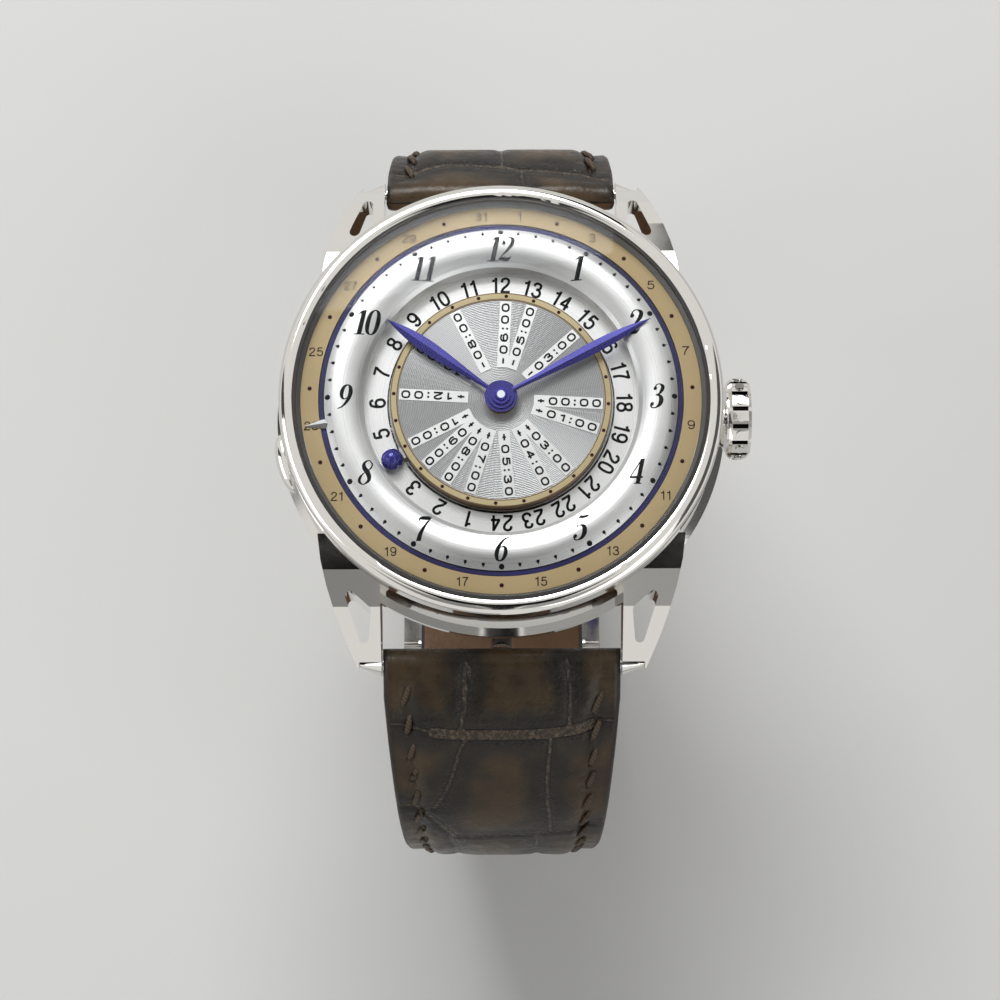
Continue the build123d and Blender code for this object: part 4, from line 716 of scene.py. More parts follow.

# date pointer: a small wedge with a sharp outer end, white; its lower facet is painted grey as shade, and its
# sides and foot a paler grey, also painted shade
pointerShape = {
    "deg": 261.3,
    "stations": [(15.97, 0.06, 0.2), (16.18, 0.425, 1.0), (17.2, 0.24, 0.8), (18.03, 0.02, 0.1)],
    "heights": (11.56, 11.6, 11.79),
    "footRadii": (16.19, 16.55),
    "footHalf": 0.4,
    "footHeights": (11.35, 11.57),
}
pointerFacets = [cloudedFinish(title, 1.0, dark, light, {"Metallic": 0.0, "Roughness": roughness})
                 for title, dark, light, roughness in (
                     ("white pointer lacquer, shaded facet", "#82817F", "#8E8D8B", 0.3),
                     ("white pointer lacquer", "#F0F0EE", "#F8F8F6", 0.25),
                     ("white pointer lacquer, sides with painted shade", "#CFCFCD", "#D8D8D6", 0.3))]
facetedBlade("faceted_date_pointer", pointerShape["stations"], pointerShape["heights"], pointerShape["deg"],
             None, pointerFacets, "date_pointer")


def pointerFoot(spec):
    # the block that holds the wedge on its ring
    near, far = spec["footRadii"]
    half = spec["footHalf"]
    points = [(*clockPoint(spec["deg"], r, side), z) for z in spec["footHeights"]
              for r, side in ((near, half), (far, half), (far, -half), (near, -half))]
    foot = makePiece("date_pointer_foot", points, [(3, 2, 1, 0), (4, 5, 6, 7)] + ringQuads(2, 4),
                     [pointerFacets[2]], "date_pointer", smooth=False)


pointerFoot(pointerShape)


def hubCap():
    # blued cap with a bright pin in its middle, painted near white: partly the polished pin, partly a painted
    # highlight; the blue is painted darker towards the rim, as shade
    material, tree, shader, place = newMaterial("blued hub cap", {"Metallic": 0.35, "Roughness": 0.36})
    inMm = addNode(tree, "Math", (axisDistance(tree, place), perMetre(1.0)), operation="MULTIPLY")
    wire(shader, {"Base Color": addNode(tree, "ValToRGB", (inMm,), [
        (0.0, "#F0F0F4"), (0.33, "#F0F0F4"), (0.38, "#3A3298"), (1.0, "#2E287C")])})
    return material


dress(["hub_cap"], hubCap())
print("dial finishes made")

# printing on the dial: thin ink meshes that lie just above their surface
# pad-printed ink: even, dull, slightly uneven at the grain of the print
inks = {name: grainedDull(title, colour, 0.2, shine - 0.08, shine + 0.08, {"Specular IOR Level": 0.12})
        for name, title, colour, shine in (
            ("black", "black dial ink", "#131315", 0.6),
            ("brown", "dark brown dial ink", "#33231A", 0.65),
            ("burgundy", "dark burgundy dial ink", "#36101A", 0.6))}
inkLift = 0.012
aboveWatch = 20


def surfaceOf(name):
    data = nodes[name].data
    return BVHTree.FromPolygons([v.co[:] for v in data.vertices], [p.vertices[:] for p in data.polygons])


def joinShapes(shapes):
    # several (points, faces) as one
    points, faces = [], []
    for shapePoints, shapeFaces in shapes:
        faces += [tuple(len(points) + i for i in face) for face in shapeFaces]
        points += shapePoints
    return points, faces


def printPiece(name, shapes, surface, body, ink):
    # shapes are in millimetres, seen from above; each point drops onto the surface
    flat, faces = joinShapes(shapes)
    points = []
    for x, y in flat:
        hit = surface.ray_cast(Vector((x * mm, y * mm, aboveWatch * mm)), Vector((0, 0, -1)))
        points.append((x, y, hit[0].z / mm + inkLift))
    makePiece(name, points, faces, [inks[ink]], body, smooth=False, closed=False)


def disc(x, y, r, corners=20):
    # a round dot as a fan
    rim = [(x + r * math.cos(a), y + r * math.sin(a)) for a in turnAngles(corners)]
    return [(x, y)] + rim, [(0, i + 1, (i + 1) % corners + 1) for i in range(corners)]


def drop(deg, r, length, width, corners=14):
    # a teardrop whose point looks outwards
    points = [clockPoint(deg, r)]
    for i in range(corners + 1):
        a = math.radians(30 + 300 * i / corners)
        points.append(clockPoint(deg, r + width / 2 * math.cos(a), width / 2 * math.sin(a)))
    points.append(clockPoint(deg, r + length - width / 2))
    last = len(points) - 1
    return points, [(0, i, i + 1) for i in range(1, last)] + [(0, last, 1)]


def placed(shape, x, y, turnDeg=0.0):
    c, s = math.cos(math.radians(turnDeg)), math.sin(math.radians(turnDeg))
    return [(x + c * u - s * v, y + s * u + c * v) for u, v in shape[0]], shape[1]


def smoothLine(points, closed, steps=7):
    # a Catmull-Rom line through points of any number of values
    p = np.array(points, float)
    p = np.vstack([p[-1], p, p[0], p[1]] if closed else [2 * p[0] - p[1], p, 2 * p[-1] - p[-2]])
    line = []
    for i in range(1, len(p) - 2):
        a, b, c, d = p[i - 1:i + 3]
        for k in range(steps):
            t = k / steps
            line.append(0.5 * (2 * b + (c - a) * t + (2 * a - 5 * b + 4 * c - d) * t * t
                               + (3 * b - a - 3 * c + d) * t ** 3))
    if not closed:
        line.append(p[-2])
    return np.array(line)


def brush(points, closed=False, straight=False):
    # one pen stroke whose points are (x, y, width)
    line = np.linspace(points[0], points[1], 9) if straight else smoothLine(points, closed)
    ahead = np.roll(line, -1, 0) - np.roll(line, 1, 0)
    if not closed:
        ahead[0] = line[1] - line[0]
        ahead[-1] = line[-1] - line[-2]
    length = np.hypot(ahead[:, 0], ahead[:, 1]) + 1e-9
    side = np.stack([-ahead[:, 1], ahead[:, 0]], 1) / length[:, None] * line[:, 2:3] / 2
    count = len(line)
    faces = [(count + i, count + (i + 1) % count, (i + 1) % count, i)
             for i in range(count if closed else count - 1)]
    return [tuple(v) for v in np.vstack([line[:, :2] + side, line[:, :2] - side])], faces


# bold italic numerals in the old style, drawn with pen strokes (x, y, width) on a grid 100 units high
gridHeight = 100
numeralWidths = {"1": 47, "2": 56, "3": 52, "4": 56, "5": 52, "6": 52, "7": 54, "8": 50, "9": 52,
                 "0": 54}
sixStroke = [(50, 98, 3), (30, 88, 8), (14, 62, 15), (10, 34, 18), (16, 12, 13),
             (28, 2, 5), (42, 10, 13), (47, 30, 17), (42, 50, 12), (30, 59, 5),
             (17, 52, 4)]
numeralStrokes = {
    "1": [brush([(30, 0, 20), (30, 100, 20)], straight=True),
          ([(20, 100), (6, 86), (6, 82), (21, 87)], [(0, 1, 2, 3)]),
          brush([(6, 2.2, 4.4), (52, 2.2, 4.4)], straight=True)],
    "2": [disc(12, 73, 8.5),
          brush([(7, 76, 6), (14, 93, 5), (30, 97, 5), (46, 88, 16), (48, 70, 19),
                 (36, 46, 12), (16, 22, 5), (5, 6, 4)]),
          brush([(4, 6, 5), (10, 10, 11), (28, 9, 16), (42, 7, 14), (52, 14, 5),
                 (55, 22, 3)])],
    "3": [disc(13, 80, 7.5),
          brush([(9, 80, 6), (16, 94, 5), (28, 97.5, 4), (42, 88, 14), (43, 74, 16),
                 (34, 58, 8), (20, 53, 4)]),
          brush([(20, 54, 4), (38, 50, 10), (48, 34, 19), (46, 16, 17), (32, 3, 6),
                 (16, 3, 5), (7, 14, 6)]),
          disc(13, 17, 8)],
    "4": [brush([(36, 97, 6), (4, 30, 5)], straight=True),
          brush([(1, 27, 8), (56, 27, 8)], straight=True),
          brush([(40, 100, 18), (40, 0, 18)], straight=True),
          brush([(24, 2, 4), (56, 2, 4)], straight=True)],
    "5": [brush([(13, 95, 13), (32, 94, 12), (50, 100, 10)]),
          brush([(12, 96, 4), (10, 54, 4)], straight=True),
          brush([(10, 53, 4), (24, 61, 5), (40, 54, 15), (47, 34, 20), (43, 14, 15),
                 (27, 2, 5), (14, 3, 5), (6, 13, 5)]),
          disc(12, 16, 8)],
    "6": [brush(sixStroke)],
    "7": [brush([(5, 78, 3), (8, 89, 10), (22, 92, 15), (42, 92, 15), (54, 95, 6)]),
          brush([(52, 93, 4), (36, 62, 10), (24, 30, 17), (22, 5, 20), (22, 0, 20)])],
    "8": [brush([(44, 86, 5), (28, 98.5, 4), (12, 86, 12), (16, 68, 17), (34, 50, 18),
                 (46, 30, 17), (46, 15, 13), (28, 1.5, 4), (10, 12, 10), (8, 28, 12),
                 (18, 44, 5), (34, 56, 4), (44, 68, 7), (46, 80, 6)], closed=True)],
    "9": [brush([(54 - x, 100 - y, w) for x, y, w in sixStroke])],
    "0": [brush([(28, 98.5, 4), (44, 85, 14), (49, 50, 19), (44, 15, 14), (28, 1.5, 4),
                 (12, 15, 14), (7, 50, 19), (12, 85, 14)], closed=True)],
}

hourNumerals = {
    "height": 2.34,
    "widthShare": 0.92,
    "slant": 0.22,
    "gap": 3,
    "centreRadius": 14.17,
}


def penNumeral(text, spec):
    # joined strokes, centred, in millimetres
    shapes, start = [], 0.0
    for digit in text:
        shapes += [([(start + x, y) for x, y in points], faces) for points, faces in numeralStrokes[digit]]
        start += numeralWidths[digit] + spec["gap"]
    points, faces = joinShapes(shapes)
    middle = (start - spec["gap"]) / 2
    unit = spec["height"] / gridHeight
    return [(((x - middle) * spec["widthShare"] + (y - gridHeight / 2) * spec["slant"]) * unit,
             (y - gridHeight / 2) * unit) for x, y in points], faces


hourRingTop = surfaceOf("hour_ring")
printPiece("hourNumerals", [
    placed(penNumeral(str(hour), hourNumerals), *clockPoint(hour * 30, hourNumerals["centreRadius"]))
    for hour in range(1, 13)], hourRingTop, "case", "black")

minuteTrack = {
    "dotRadius": 0.25,
    "dotCircle": 15.80,
    "dropWidth": 0.31,
    "dropLength": 0.44,
    "dropCircle": 15.66,
}
printPiece("minuteTrack", [
    disc(*clockPoint(minute * 6, minuteTrack["dotCircle"]), minuteTrack["dotRadius"]) if minute % 5 == 0 else
    drop(minute * 6, minuteTrack["dropCircle"], minuteTrack["dropLength"], minuteTrack["dropWidth"])
    for minute in range(60)], hourRingTop, "case", "black")


# upright sans numerals as the middle lines of even strokes, on the same grid
sansWidths = {"0": 46, "1": 30, "2": 46, "3": 46, "4": 48, "5": 46, "6": 46, "7": 46, "8": 46,
              "9": 46, "+": 42, "-": 36, ":": 6}
sansSix = [(42, 80), (36, 95), (24, 100), (7, 90), (0, 50), (4, 15), (22, 0),
           (41, 9), (46, 30), (40, 53), (24, 62), (8, 55), (1, 38)]
sansLines = {
    # each line is (kind, points); kind is curve, closed, straight or dot
    "0": [("closed", [(23, 100), (40, 90), (46, 50), (40, 10), (23, 0), (6, 10), (0, 50),
                      (6, 90)])],
    "1": [("straight", [(24, -7), (24, 107)]), ("curve", [(24, 100), (16, 86), (0, 80)])],
    "2": [("curve", [(2, 70), (6, 90), (23, 100), (41, 91), (44, 72), (34, 50), (10, 24),
                     (0, 0)]), ("straight", [(-7, 0), (50, 0)])],
    "3": [("curve", [(2, 76), (8, 94), (23, 100), (40, 92), (42, 74), (34, 58),
                     (18, 54)]),
          ("curve", [(18, 54), (38, 49), (46, 28), (40, 7), (22, 0), (6, 7), (0, 26)])],
    "4": [("straight", [(34, -7), (34, 105)]), ("straight", [(34, 100), (0, 27)]),
          ("straight", [(-5, 27), (50, 27)])],
    "5": [("straight", [(45, 100), (6, 100)]), ("straight", [(8, 100), (4, 50)]),
          ("curve", [(4, 52), (14, 62), (26, 64), (42, 55), (46, 32), (40, 9), (23, 0),
                     (7, 6), (0, 24)])],
    "6": [("curve", sansSix)],
    "7": [("straight", [(-3, 100), (50, 100)]), ("curve", [(45, 100), (30, 70), (18, 35), (14, -7)])],
    "8": [("closed", [(23, 100), (40, 92), (42, 76), (36, 60), (23, 54), (10, 60), (4, 76),
                      (6, 92)]),
          ("closed", [(23, 54), (40, 46), (46, 27), (40, 8), (23, 0), (6, 8), (0, 27),
                      (6, 46)])],
    "9": [("curve", [(46 - x, 100 - y) for x, y in sansSix])],
    "+": [("straight", [(0, 47), (42, 47)]), ("straight", [(21, 20), (21, 74)])],
    "-": [("straight", [(0, 47), (36, 47)])],
    ":": [("dot", (3, 12)), ("dot", (3, 76))],
}


def letters(text, height, weight, stretch=1.0, spacing=0.12):
    # sans figures centred on their own box; weight is the stroke as a share of the height
    scale, width = height * (1 - weight) / gridHeight, height * weight
    shapes, start = [], 0.0
    for figure in text:
        for kind, line in sansLines[figure]:
            if kind == "dot":
                shapes.append(disc((start + line[0]) * scale * stretch, line[1] * scale, width * 0.62, 12))
            else:
                path = [((start + x) * scale * stretch, y * scale, width) for x, y in line]
                shapes.append(brush(path, kind == "closed", kind == "straight"))
        start += sansWidths[figure] + (weight + spacing) * gridHeight
    long = (start - (weight + spacing) * gridHeight) * scale * stretch
    points, faces = joinShapes(shapes)
    return [(x - long / 2, y - scale * gridHeight / 2) for x, y in points], faces


ring24 = {
    "circle": 11.34,
    "height": 1.56,
    "weight": 0.155,
    "stretch": 1.16,
}
printPiece("numerals24", [
    placed(letters(str(hour), ring24["height"], ring24["weight"], ring24["stretch"]),
           *clockPoint((hour - 12) * 15, ring24["circle"]), turnDeg=-(hour - 12) * 15)
    for hour in range(1, 25)], surfaceOf("hours24_ring"), "case", "black")

dateScale = {
    # two digits are stretched less than one, so that they stay on the ring
    "circle": 17.47,
    "height": 0.84,
    "weight": 0.13,
    "stretch": (1.68, 1.36),
    "dotRadius": 0.2,
}
dateRingTop = surfaceOf("date_ring")
numbers, dots = [], []
for day in range(1, 32):
    x, y = clockPoint((day - 0.5) * 360 / 31, dateScale["circle"])
    if day % 2:
        numbers.append(placed(letters(str(day), dateScale["height"], dateScale["weight"],
                                      dateScale["stretch"][day > 9]), x, y))
    else:
        dots.append(disc(x, y, dateScale["dotRadius"]))
printPiece("dateNumerals", numbers, dateRingTop, "case", "brown")
printPiece("dateDots", dots, dateRingTop, "case", "burgundy")

zoneScale = {
    "hours": [-10, -8, -6, -5, -3, 0, 1, 3, 4, 5.5, 7, 8, 9, 10, 12],
    "zeroDeg": 93.0,
    "labelRadius": 6.2,
    "labelHeight": 0.76,
    "labelWeight": 0.22,
    "labelLength": 5.9,
    "dotCircle": 9.81,
    "dotRadius": 0.17,
    "dotFromDeg": 3,
}


def zoneLabel(hours, spec):
    # the hours from universal time, as +05:30, stretched to the plaque's length
    sign = "-" if hours < 0 else "+"
    text = "%s%02d:%02d" % (sign, int(abs(hours)), round(abs(hours) % 1 * 60))
    across = [x for x, y in letters(text, spec["labelHeight"], spec["labelWeight"])[0]]
    stretch = spec["labelLength"] / (max(across) - min(across))
    deg = spec["zeroDeg"] + 15 * hours
    return placed(letters(text, spec["labelHeight"], spec["labelWeight"], stretch),
                  *clockPoint(deg, spec["labelRadius"]), turnDeg=90 - deg)


printPiece("zoneLabels", [zoneLabel(hours, zoneScale) for hours in zoneScale["hours"]],
           surfaceOf("zone_plaques"), "zone_disc", "black")
printPiece("zoneDots", [
    disc(*clockPoint(zoneScale["dotFromDeg"] + 15 * k, zoneScale["dotCircle"]), zoneScale["dotRadius"])
    for k in range(24)], surfaceOf("zone_rim"), "zone_disc", "burgundy")
print("dial printed")

# Leather strap. Both legs follow the route and the sizes of the solids that they stand for.

strapSize = {
    "loopRadius": 47.0,
    "barY": 23.0,
    "barZ": 2.2,
    "barHole": 0.8,
    "fullWidth": 22.0,
    "endWidth": 18.0,
    "fullRun": 3.0,
    "taperRun": 44.0,
    "taperPower": 1.6,
    "barThick": 2.9,
    "thick": 3.4,
    "tailThick": 2.4,
    "swellRun": 9.0,
    "thinRun": 50.0,
    "tailRise": 2.9,
    "riseFromDeg": -16.0,
    "riseToDeg": 2.0,
    "tipShare": 0.3,
    "foldRadius": 1.4,
    "foldHole": 0.65,
    "padRise": 0.55,
    "tailPadRise": 0.2,
    "barPadRise": 0.15,
    "shoulderWidth": 2.2,
    "stitchInset": 2.1,
    "edgeRound": 0.45,
    "routeStep": 0.25,
}
strapLegs = {
    "strap_12": {"side": 1, "reach": 29.2, "exitDeg": 40.0, "exitRun": 4.0, "cornerRadius": 13.0,
                 "endDeg": 4.0, "tip": 0.0, "seed": 12},
    "strap_6": {"side": -1, "reach": 37.5, "exitDeg": 24.0, "exitRun": 3.0, "cornerRadius": 16.0,
                "endDeg": 27.0, "tip": 7.0, "seed": 6},
}


def smooth(t):
    t = np.clip(t, 0, 1)
    return t * t * (3 - 2 * t)


def tailRise(deg):
    # how far the long leg stands outside the loop where it passes over the short one
    spec = strapSize
    return spec["tailRise"] * smooth((deg - spec["riseFromDeg"]) / (spec["riseToDeg"] - spec["riseFromDeg"]))


def legRoute(leg):
    # middle line of a leg as run length, place (y, z) and outward normal (y, z)
    spec = strapSize
    slope = math.radians(leg["exitDeg"])
    bend = (leg["reach"] - spec["barY"] - leg["exitRun"] * math.cos(slope)) / (1 - math.sin(slope))
    bendY = leg["reach"] - bend
    bendZ = spec["barZ"] - leg["exitRun"] * math.sin(slope) - bend * math.cos(slope)
    corner = leg["cornerRadius"]
    cornerY = leg["reach"] - corner
    cornerZ = spec["barZ"] - math.sqrt((spec["loopRadius"] - corner) ** 2 - cornerY ** 2)
    join = math.asin(cornerY / (spec["loopRadius"] - corner))
    turn, low = math.pi / 2 - slope, math.pi / 2 - join
    sweep = leg["side"] * math.radians(leg["endDeg"]) - join

    def loop(t):
        angle = join + t * sweep
        away = spec["loopRadius"]
        if leg["tip"]:
            away += tailRise(math.degrees(leg["side"] * angle))
        return away * math.sin(angle), spec["barZ"] - away * math.cos(angle)

    points = []
    for length, place in (
            (leg["exitRun"], lambda t: (spec["barY"] + t * leg["exitRun"] * math.cos(slope),
                                        spec["barZ"] - t * leg["exitRun"] * math.sin(slope))),
            (bend * turn, lambda t: (bendY + bend * math.sin(slope + t * turn),
                                     bendZ + bend * math.cos(slope + t * turn))),
            (bendZ - cornerZ, lambda t: (leg["reach"], bendZ - t * (bendZ - cornerZ))),
            (corner * low, lambda t: (cornerY + corner * math.cos(t * low),
                                      cornerZ - corner * math.sin(t * low))),
            (abs(sweep) * spec["loopRadius"], loop)):
        count = max(1, round(length / spec["routeStep"]))
        points += [place(i / count) for i in range(count)]
    place = np.array(points + [loop(1)])
    ahead = np.gradient(place, axis=0)
    ahead /= np.linalg.norm(ahead, axis=1)[:, None]
    normal = np.stack([-ahead[:, 1], ahead[:, 0]], 1)
    run = np.concatenate([[0], np.cumsum(np.linalg.norm(np.diff(place, axis=0), axis=1))])
    place[:, 0] *= leg["side"]
    normal[:, 0] *= leg["side"]
    return run, place, normal


def onRoute(route, run):
    # the middle of the leg and its outward normal at a run length
    return [np.stack([np.interp(run, route[0], table[:, k]) for k in (0, 1)], -1) for table in route[1:]]


def legWidth(run, length=0.0, tip=0.0):
    spec = strapSize
    t = np.clip((run - spec["fullRun"]) / (spec["taperRun"] - spec["fullRun"]), 0, 1)
    width = spec["fullWidth"] - (spec["fullWidth"] - spec["endWidth"]) * (1 - (1 - t) ** spec["taperPower"])
    if tip:
        left = np.clip((length - run) / tip, 0, 1)
        width = width * (spec["tipShare"] + (1 - spec["tipShare"]) * np.sqrt(1 - (1 - left) ** 2))
    return width


def legThickness(run):
    spec = strapSize
    swell = spec["barThick"] + (spec["thick"] - spec["barThick"]) * np.clip(run / spec["swellRun"], 0, 1)
    thin = np.clip((run - spec["swellRun"]) / (spec["thinRun"] - spec["swellRun"]), 0, 1)
    return swell + (spec["tailThick"] - spec["thick"]) * thin


# Creases between the leather's scales as (half width, points), each point (across, along the leg)
measuredCreases = {
    "strap_6": [
        (0.12, [(-10.4, 5.4), (-8.75, 5.6), (-7.0, 5.9), (-5.5, 6.2)]),
        (0.46, [(-6.4, 6.1), (-4.5, 6.25), (-2, 6.3), (0.5, 6.3), (3.75, 6.2), (6.4, 5.9), (8.4, 5.4)]),
        (0.12, [(8.2, 5.4), (9.4, 5.2), (10.4, 5.1)]),
        (0.15, [(-3.3, -0.5), (-3.5, 1.5), (-3.5, 3.5), (-3.9, 5.8)]),
        (0.06, [(-2.9, 0.0), (-3.05, 1.2), (-3.3, 2.4)]),
        (0.12, [(6.0, -0.8), (6.25, 2.25), (6.25, 5.0), (5.9, 5.9)]),
        (0.15, [(-3.4, 6.8), (-4.0, 8.0), (-4.5, 10.0), (-5.25, 12.5), (-6.5, 15.0)]),
        (0.15, [(4.5, 6.6), (4.25, 10.3), (4.25, 13.3), (4.5, 16.6), (4.6, 18.8)]),
        (0.14, [(-4.6, 20.2), (-2.25, 20.1), (0.5, 19.8), (3.0, 19.6), (5.5, 19.1), (7.25, 18.8),
                (10, 18.5)]),
        (0.19, [(-10, 15.1), (-8.25, 15.4), (-6.75, 16.4), (-5.6, 18.2), (-4.6, 20.2)]),
        (0.12, [(3.25, 19.8), (3.4, 21.5), (3.2, 24.0), (3.5, 28.0), (3.3, 31.8)]),
        (0.13, [(-5.0, 20.1), (-4.4, 24.0), (-4.6, 28.0), (-4.2, 31.6)]),
    ],
    "strap_12": [
        (0.22, [(-10.75, 2.2), (-8.5, 2.2), (-7.4, 3.0), (-5.4, 3.7), (-3, 3.6), (0.25, 3.2), (1.75, 2.7),
                (4.25, 2.5), (8.5, 1.7), (10.5, 1.0)]),
        (0.14, [(0, 8.6), (0.1, 6.0), (0.25, 3.5)]),
        (0.12, [(2.0, 2.4), (2.25, 0), (2.3, -0.6)]),
        (0.11, [(-8.3, 2.4), (-8.6, 4.6), (-8.4, 8.0)]),
        (0.11, [(8.6, 1.8), (8.9, 4.4), (8.5, 8.4)]),
        (0.15, [(-10.6, 9.4), (-6.0, 8.8), (0.0, 8.6), (4.0, 9.1), (10.6, 8.6)]),
    ],
}
creaseRows = {
    # run of the last measured row, first row that is made up, the rows' pitch there and at the far end
    "strap_6": (19.9, 31.7, 11.8, 8.6),
    "strap_12": (8.8, 20.3, 11.4, 9.0),
}
creaseLook = {
    "depth": 0.12,
    "valley": 0.28,
    "puff": 0.12,
    "puffWidth": 1.6,
    "wrinkleDepth": 0.06,
    "wrinkleWidth": 0.14,
}
creaseRules = {
    # how the made-up rows and wrinkles vary, in millimetres or as shares of the leg's half width
    "rowHalves": [0.14, 0.18, 0.36],
    "rowLean": 0.5,
    "rowWaver": 0.3,
    "lastRowBefore": 2,
    "pitchDrift": 0.25,
    "pitchWaver": 0.6,
    "sideHalf": 0.13,
    "sideWaver": 0.4,
    "sideShare": (0.30, 0.36),
    "sideSpread": 0.14,
    "widePitch": 9.5,
    "wrinkleFirst": 0.8,
    "wrinkleLastBefore": 8,
    "wrinkleChance": 0.75,
    "wrinkleInset": (0.9, 1.6),
    "wrinkleReach": (0.9, 2.6),
    "wrinkleStep": (0.7, 1.9),
}


def legCreases(name, length):
    # the measured creases, then rows of scales made up in the same manner, and wrinkles by the stitching
    rules = creaseRules
    chance = random.Random(strapLegs[name]["seed"])
    waver = lambda most: chance.uniform(-most, most)
    creases = list(measuredCreases[name])
    previous, at, pitch, farPitch = creaseRows[name]
    start = at
    while at < length - rules["lastRowBefore"]:
        half = legWidth(at) / 2
        lean = waver(rules["rowLean"])
        row = [(x, at + lean * x / half + waver(rules["rowWaver"])) for x in np.linspace(-half, half, 7)]
        creases.append((chance.choice(rules["rowHalves"]), row))
        share = rules["sideShare"][at - previous > rules["widePitch"]]
        if not (name == "strap_6" and at == start):
            for side in (-1, 1):
                x = side * half * chance.uniform(share, share + rules["sideSpread"])
                creases.append((rules["sideHalf"], [
                    (x + waver(rules["sideWaver"]), s) for s in np.linspace(previous, at, 5)]))
        previous = at
        pitch += (farPitch - pitch) * rules["pitchDrift"]
        at += pitch + waver(rules["pitchWaver"])
    wrinkles = []
    run = rules["wrinkleFirst"]
    while run < length - rules["wrinkleLastBefore"]:
        half = legWidth(run) / 2
        for side in (-1, 1):
            if chance.random() < rules["wrinkleChance"]:
                x = half - chance.uniform(*rules["wrinkleInset"])
                reach = chance.uniform(*rules["wrinkleReach"])
                wrinkles.append([(side * x, run), (side * (x - reach * 0.5), run + chance.uniform(-0.3, 0.4)),
                                 (side * (x - reach), run + chance.uniform(-0.6, 0.8))])
        run += chance.uniform(*rules["wrinkleStep"])
    return creases, [(0.0, points) for points in wrinkles]


def distanceTo(x, s, lines):
    # distance in millimetres from every point to the nearest line's edge, below zero inside a line
    best = np.full(x.shape, 99.0)
    for half, points in lines:
        line = smoothLine(points, False, 4)
        for (x0, s0), (x1, s1) in zip(line, line[1:]):
            dx, ds = x1 - x0, s1 - s0
            t = np.clip(((x - x0) * dx + (s - s0) * ds) / (dx * dx + ds * ds + 1e-9), 0, 1)
            best = np.minimum(best, np.hypot(x - x0 - t * dx, s - s0 - t * ds) - half)
    return best


grainFine = {
    "poreMm": 0.3,
    "foldMm": 1.3,
    "cloudMm": 3.4,
    "wrinkleMm": 0.45,
    "strandMm": 0.35,
    "edgeWaver": 0.12,
    "warmCentre": 0.45,
    "poreShare": 0.12,
}


def scaledLeather(spec):
    # glazed brown leather with large scales: warm scale centres whose tone falls towards the creases, partly
    # the leather's own and partly painted shade; flanks beside the creases painted near black as shade; pale
    # worn creases
    material, tree, shader, place = newMaterial("glazed scaled leather, brown", {"Specular IOR Level": 0.34})
    clouds, folds, strands, bundles = (
        addNode(tree, "TexNoise", {"Vector": place, "Scale": perMetre(size), **more}) for size, more in (
            (spec["cloudMm"], {"Detail": 4.0}),
            (spec["foldMm"], {"Detail": 6.0, "Roughness": 0.6}),
            (spec["strandMm"], {"Detail": 4.0, "Distortion": 0.8}),
            (spec["wrinkleMm"], {"Detail": 3.0, "Distortion": 1.2})))
    pores = addNode(tree, "TexVoronoi", {"Vector": place, "Scale": perMetre(spec["poreMm"])},
                    feature="SMOOTH_F1")
    away, side = (addNode(tree, "Attribute", attribute_name=name).outputs["Fac"] for name in ("away", "rim"))
    # the creases' edges waver a little
    away = addNode(tree, "Math", (folds, spec["edgeWaver"], away), operation="MULTIPLY_ADD")
    # each range is a value, its low and high end, and what they become
    centre, flankShade, line, wear, edge, gloss, gathered, ridge = (
        addNode(tree, "MapRange", values, interpolation_type="SMOOTHSTEP") for values in (
            (away, 0.2, 3.2),
            (away, 0.32, 0.12),
            (away, 0.10, 0.03),
            (folds, 0.28, 0.5, 0.3, 0.95),
            (side, 0.1, 1.1, 0.6, 0.0),
            (folds, 0.3, 0.7, 0.24, 0.4),
            (away, 1.4, 0.1, 0.15, 1.6),
            (away, 0.18, 0.02, 0.0, 0.9)))
    # the tone rises from the creases to the scale centres: partly the leather's own tone, partly painted
    # shade
    tone = addNode(tree, "Math", (centre, spec["warmCentre"], clouds), operation="MULTIPLY_ADD")
    colour = addNode(tree, "ValToRGB", (tone,), [(0.35, "#14110D"), (0.65, "#292118"), (0.98, "#4A3A26")])
    # inside a crease the leather is a bundle of fine pale and dark folds
    folded = addNode(tree, "ValToRGB", (strands,), [(0.36, "#2A221A"), (0.5, "#463B2E"), (0.66, "#6C5F4E")])
    worn = addNode(tree, "Math", (line, wear), operation="MULTIPLY")
    # the flanks beside the creases are painted near black, as shade
    for share, over in ((flankShade, linear("#100C08")), (worn, folded), (edge, linear("#120D09"))):
        colour = addNode(tree, "Mix", {0: share, 6: colour, 7: over}, data_type="RGBA").outputs[2]
    # small wrinkles run in bundles beside and inside the creases
    bundled = addNode(tree, "Math", (bundles, gathered), operation="MULTIPLY")
    height = addNode(tree, "Math", (pores, spec["poreShare"], folds), operation="MULTIPLY_ADD")
    for more in (bundled, ridge):
        height = addNode(tree, "Math", (height, more), operation="ADD")
    wire(shader, {
        "Base Color": colour, "Roughness": gloss,
        "Normal": addNode(tree, "Bump", {"Strength": 0.6, "Distance": 0.00014, "Height": height})})
    return material


def plainLeather(name, light, dark, roughness, poreMm, depth):
    # smooth leather: painted edge or lining, by its colours and the size of its grain
    material, tree, shader, place = newMaterial(name, {"Specular IOR Level": 0.4})
    clouds, grain = (addNode(tree, "TexNoise", {"Vector": place, "Scale": perMetre(size), "Detail": detail})
                     for size, detail in ((4.0, 5.0), (poreMm, 4.0)))
    wire(shader, {
        "Base Color": addNode(tree, "ValToRGB", (clouds,), [(0.3, dark), (0.7, light)]),
        "Roughness": addNode(tree, "MapRange", (grain, 0.3, 0.7, roughness - 0.08, roughness + 0.1),
                             interpolation_type="SMOOTHSTEP"),
        "Normal": addNode(tree, "Bump", {"Strength": depth, "Distance": 0.0001, "Height": grain})})
    return material


leathers = [
    scaledLeather(grainFine),
    plainLeather("painted leather edge", "#2A1D14", "#1E150E", 0.38, 0.4, 0.3),
    plainLeather("brown lining leather", "#6E5137", "#5A412B", 0.62, 0.5, 0.5),
]


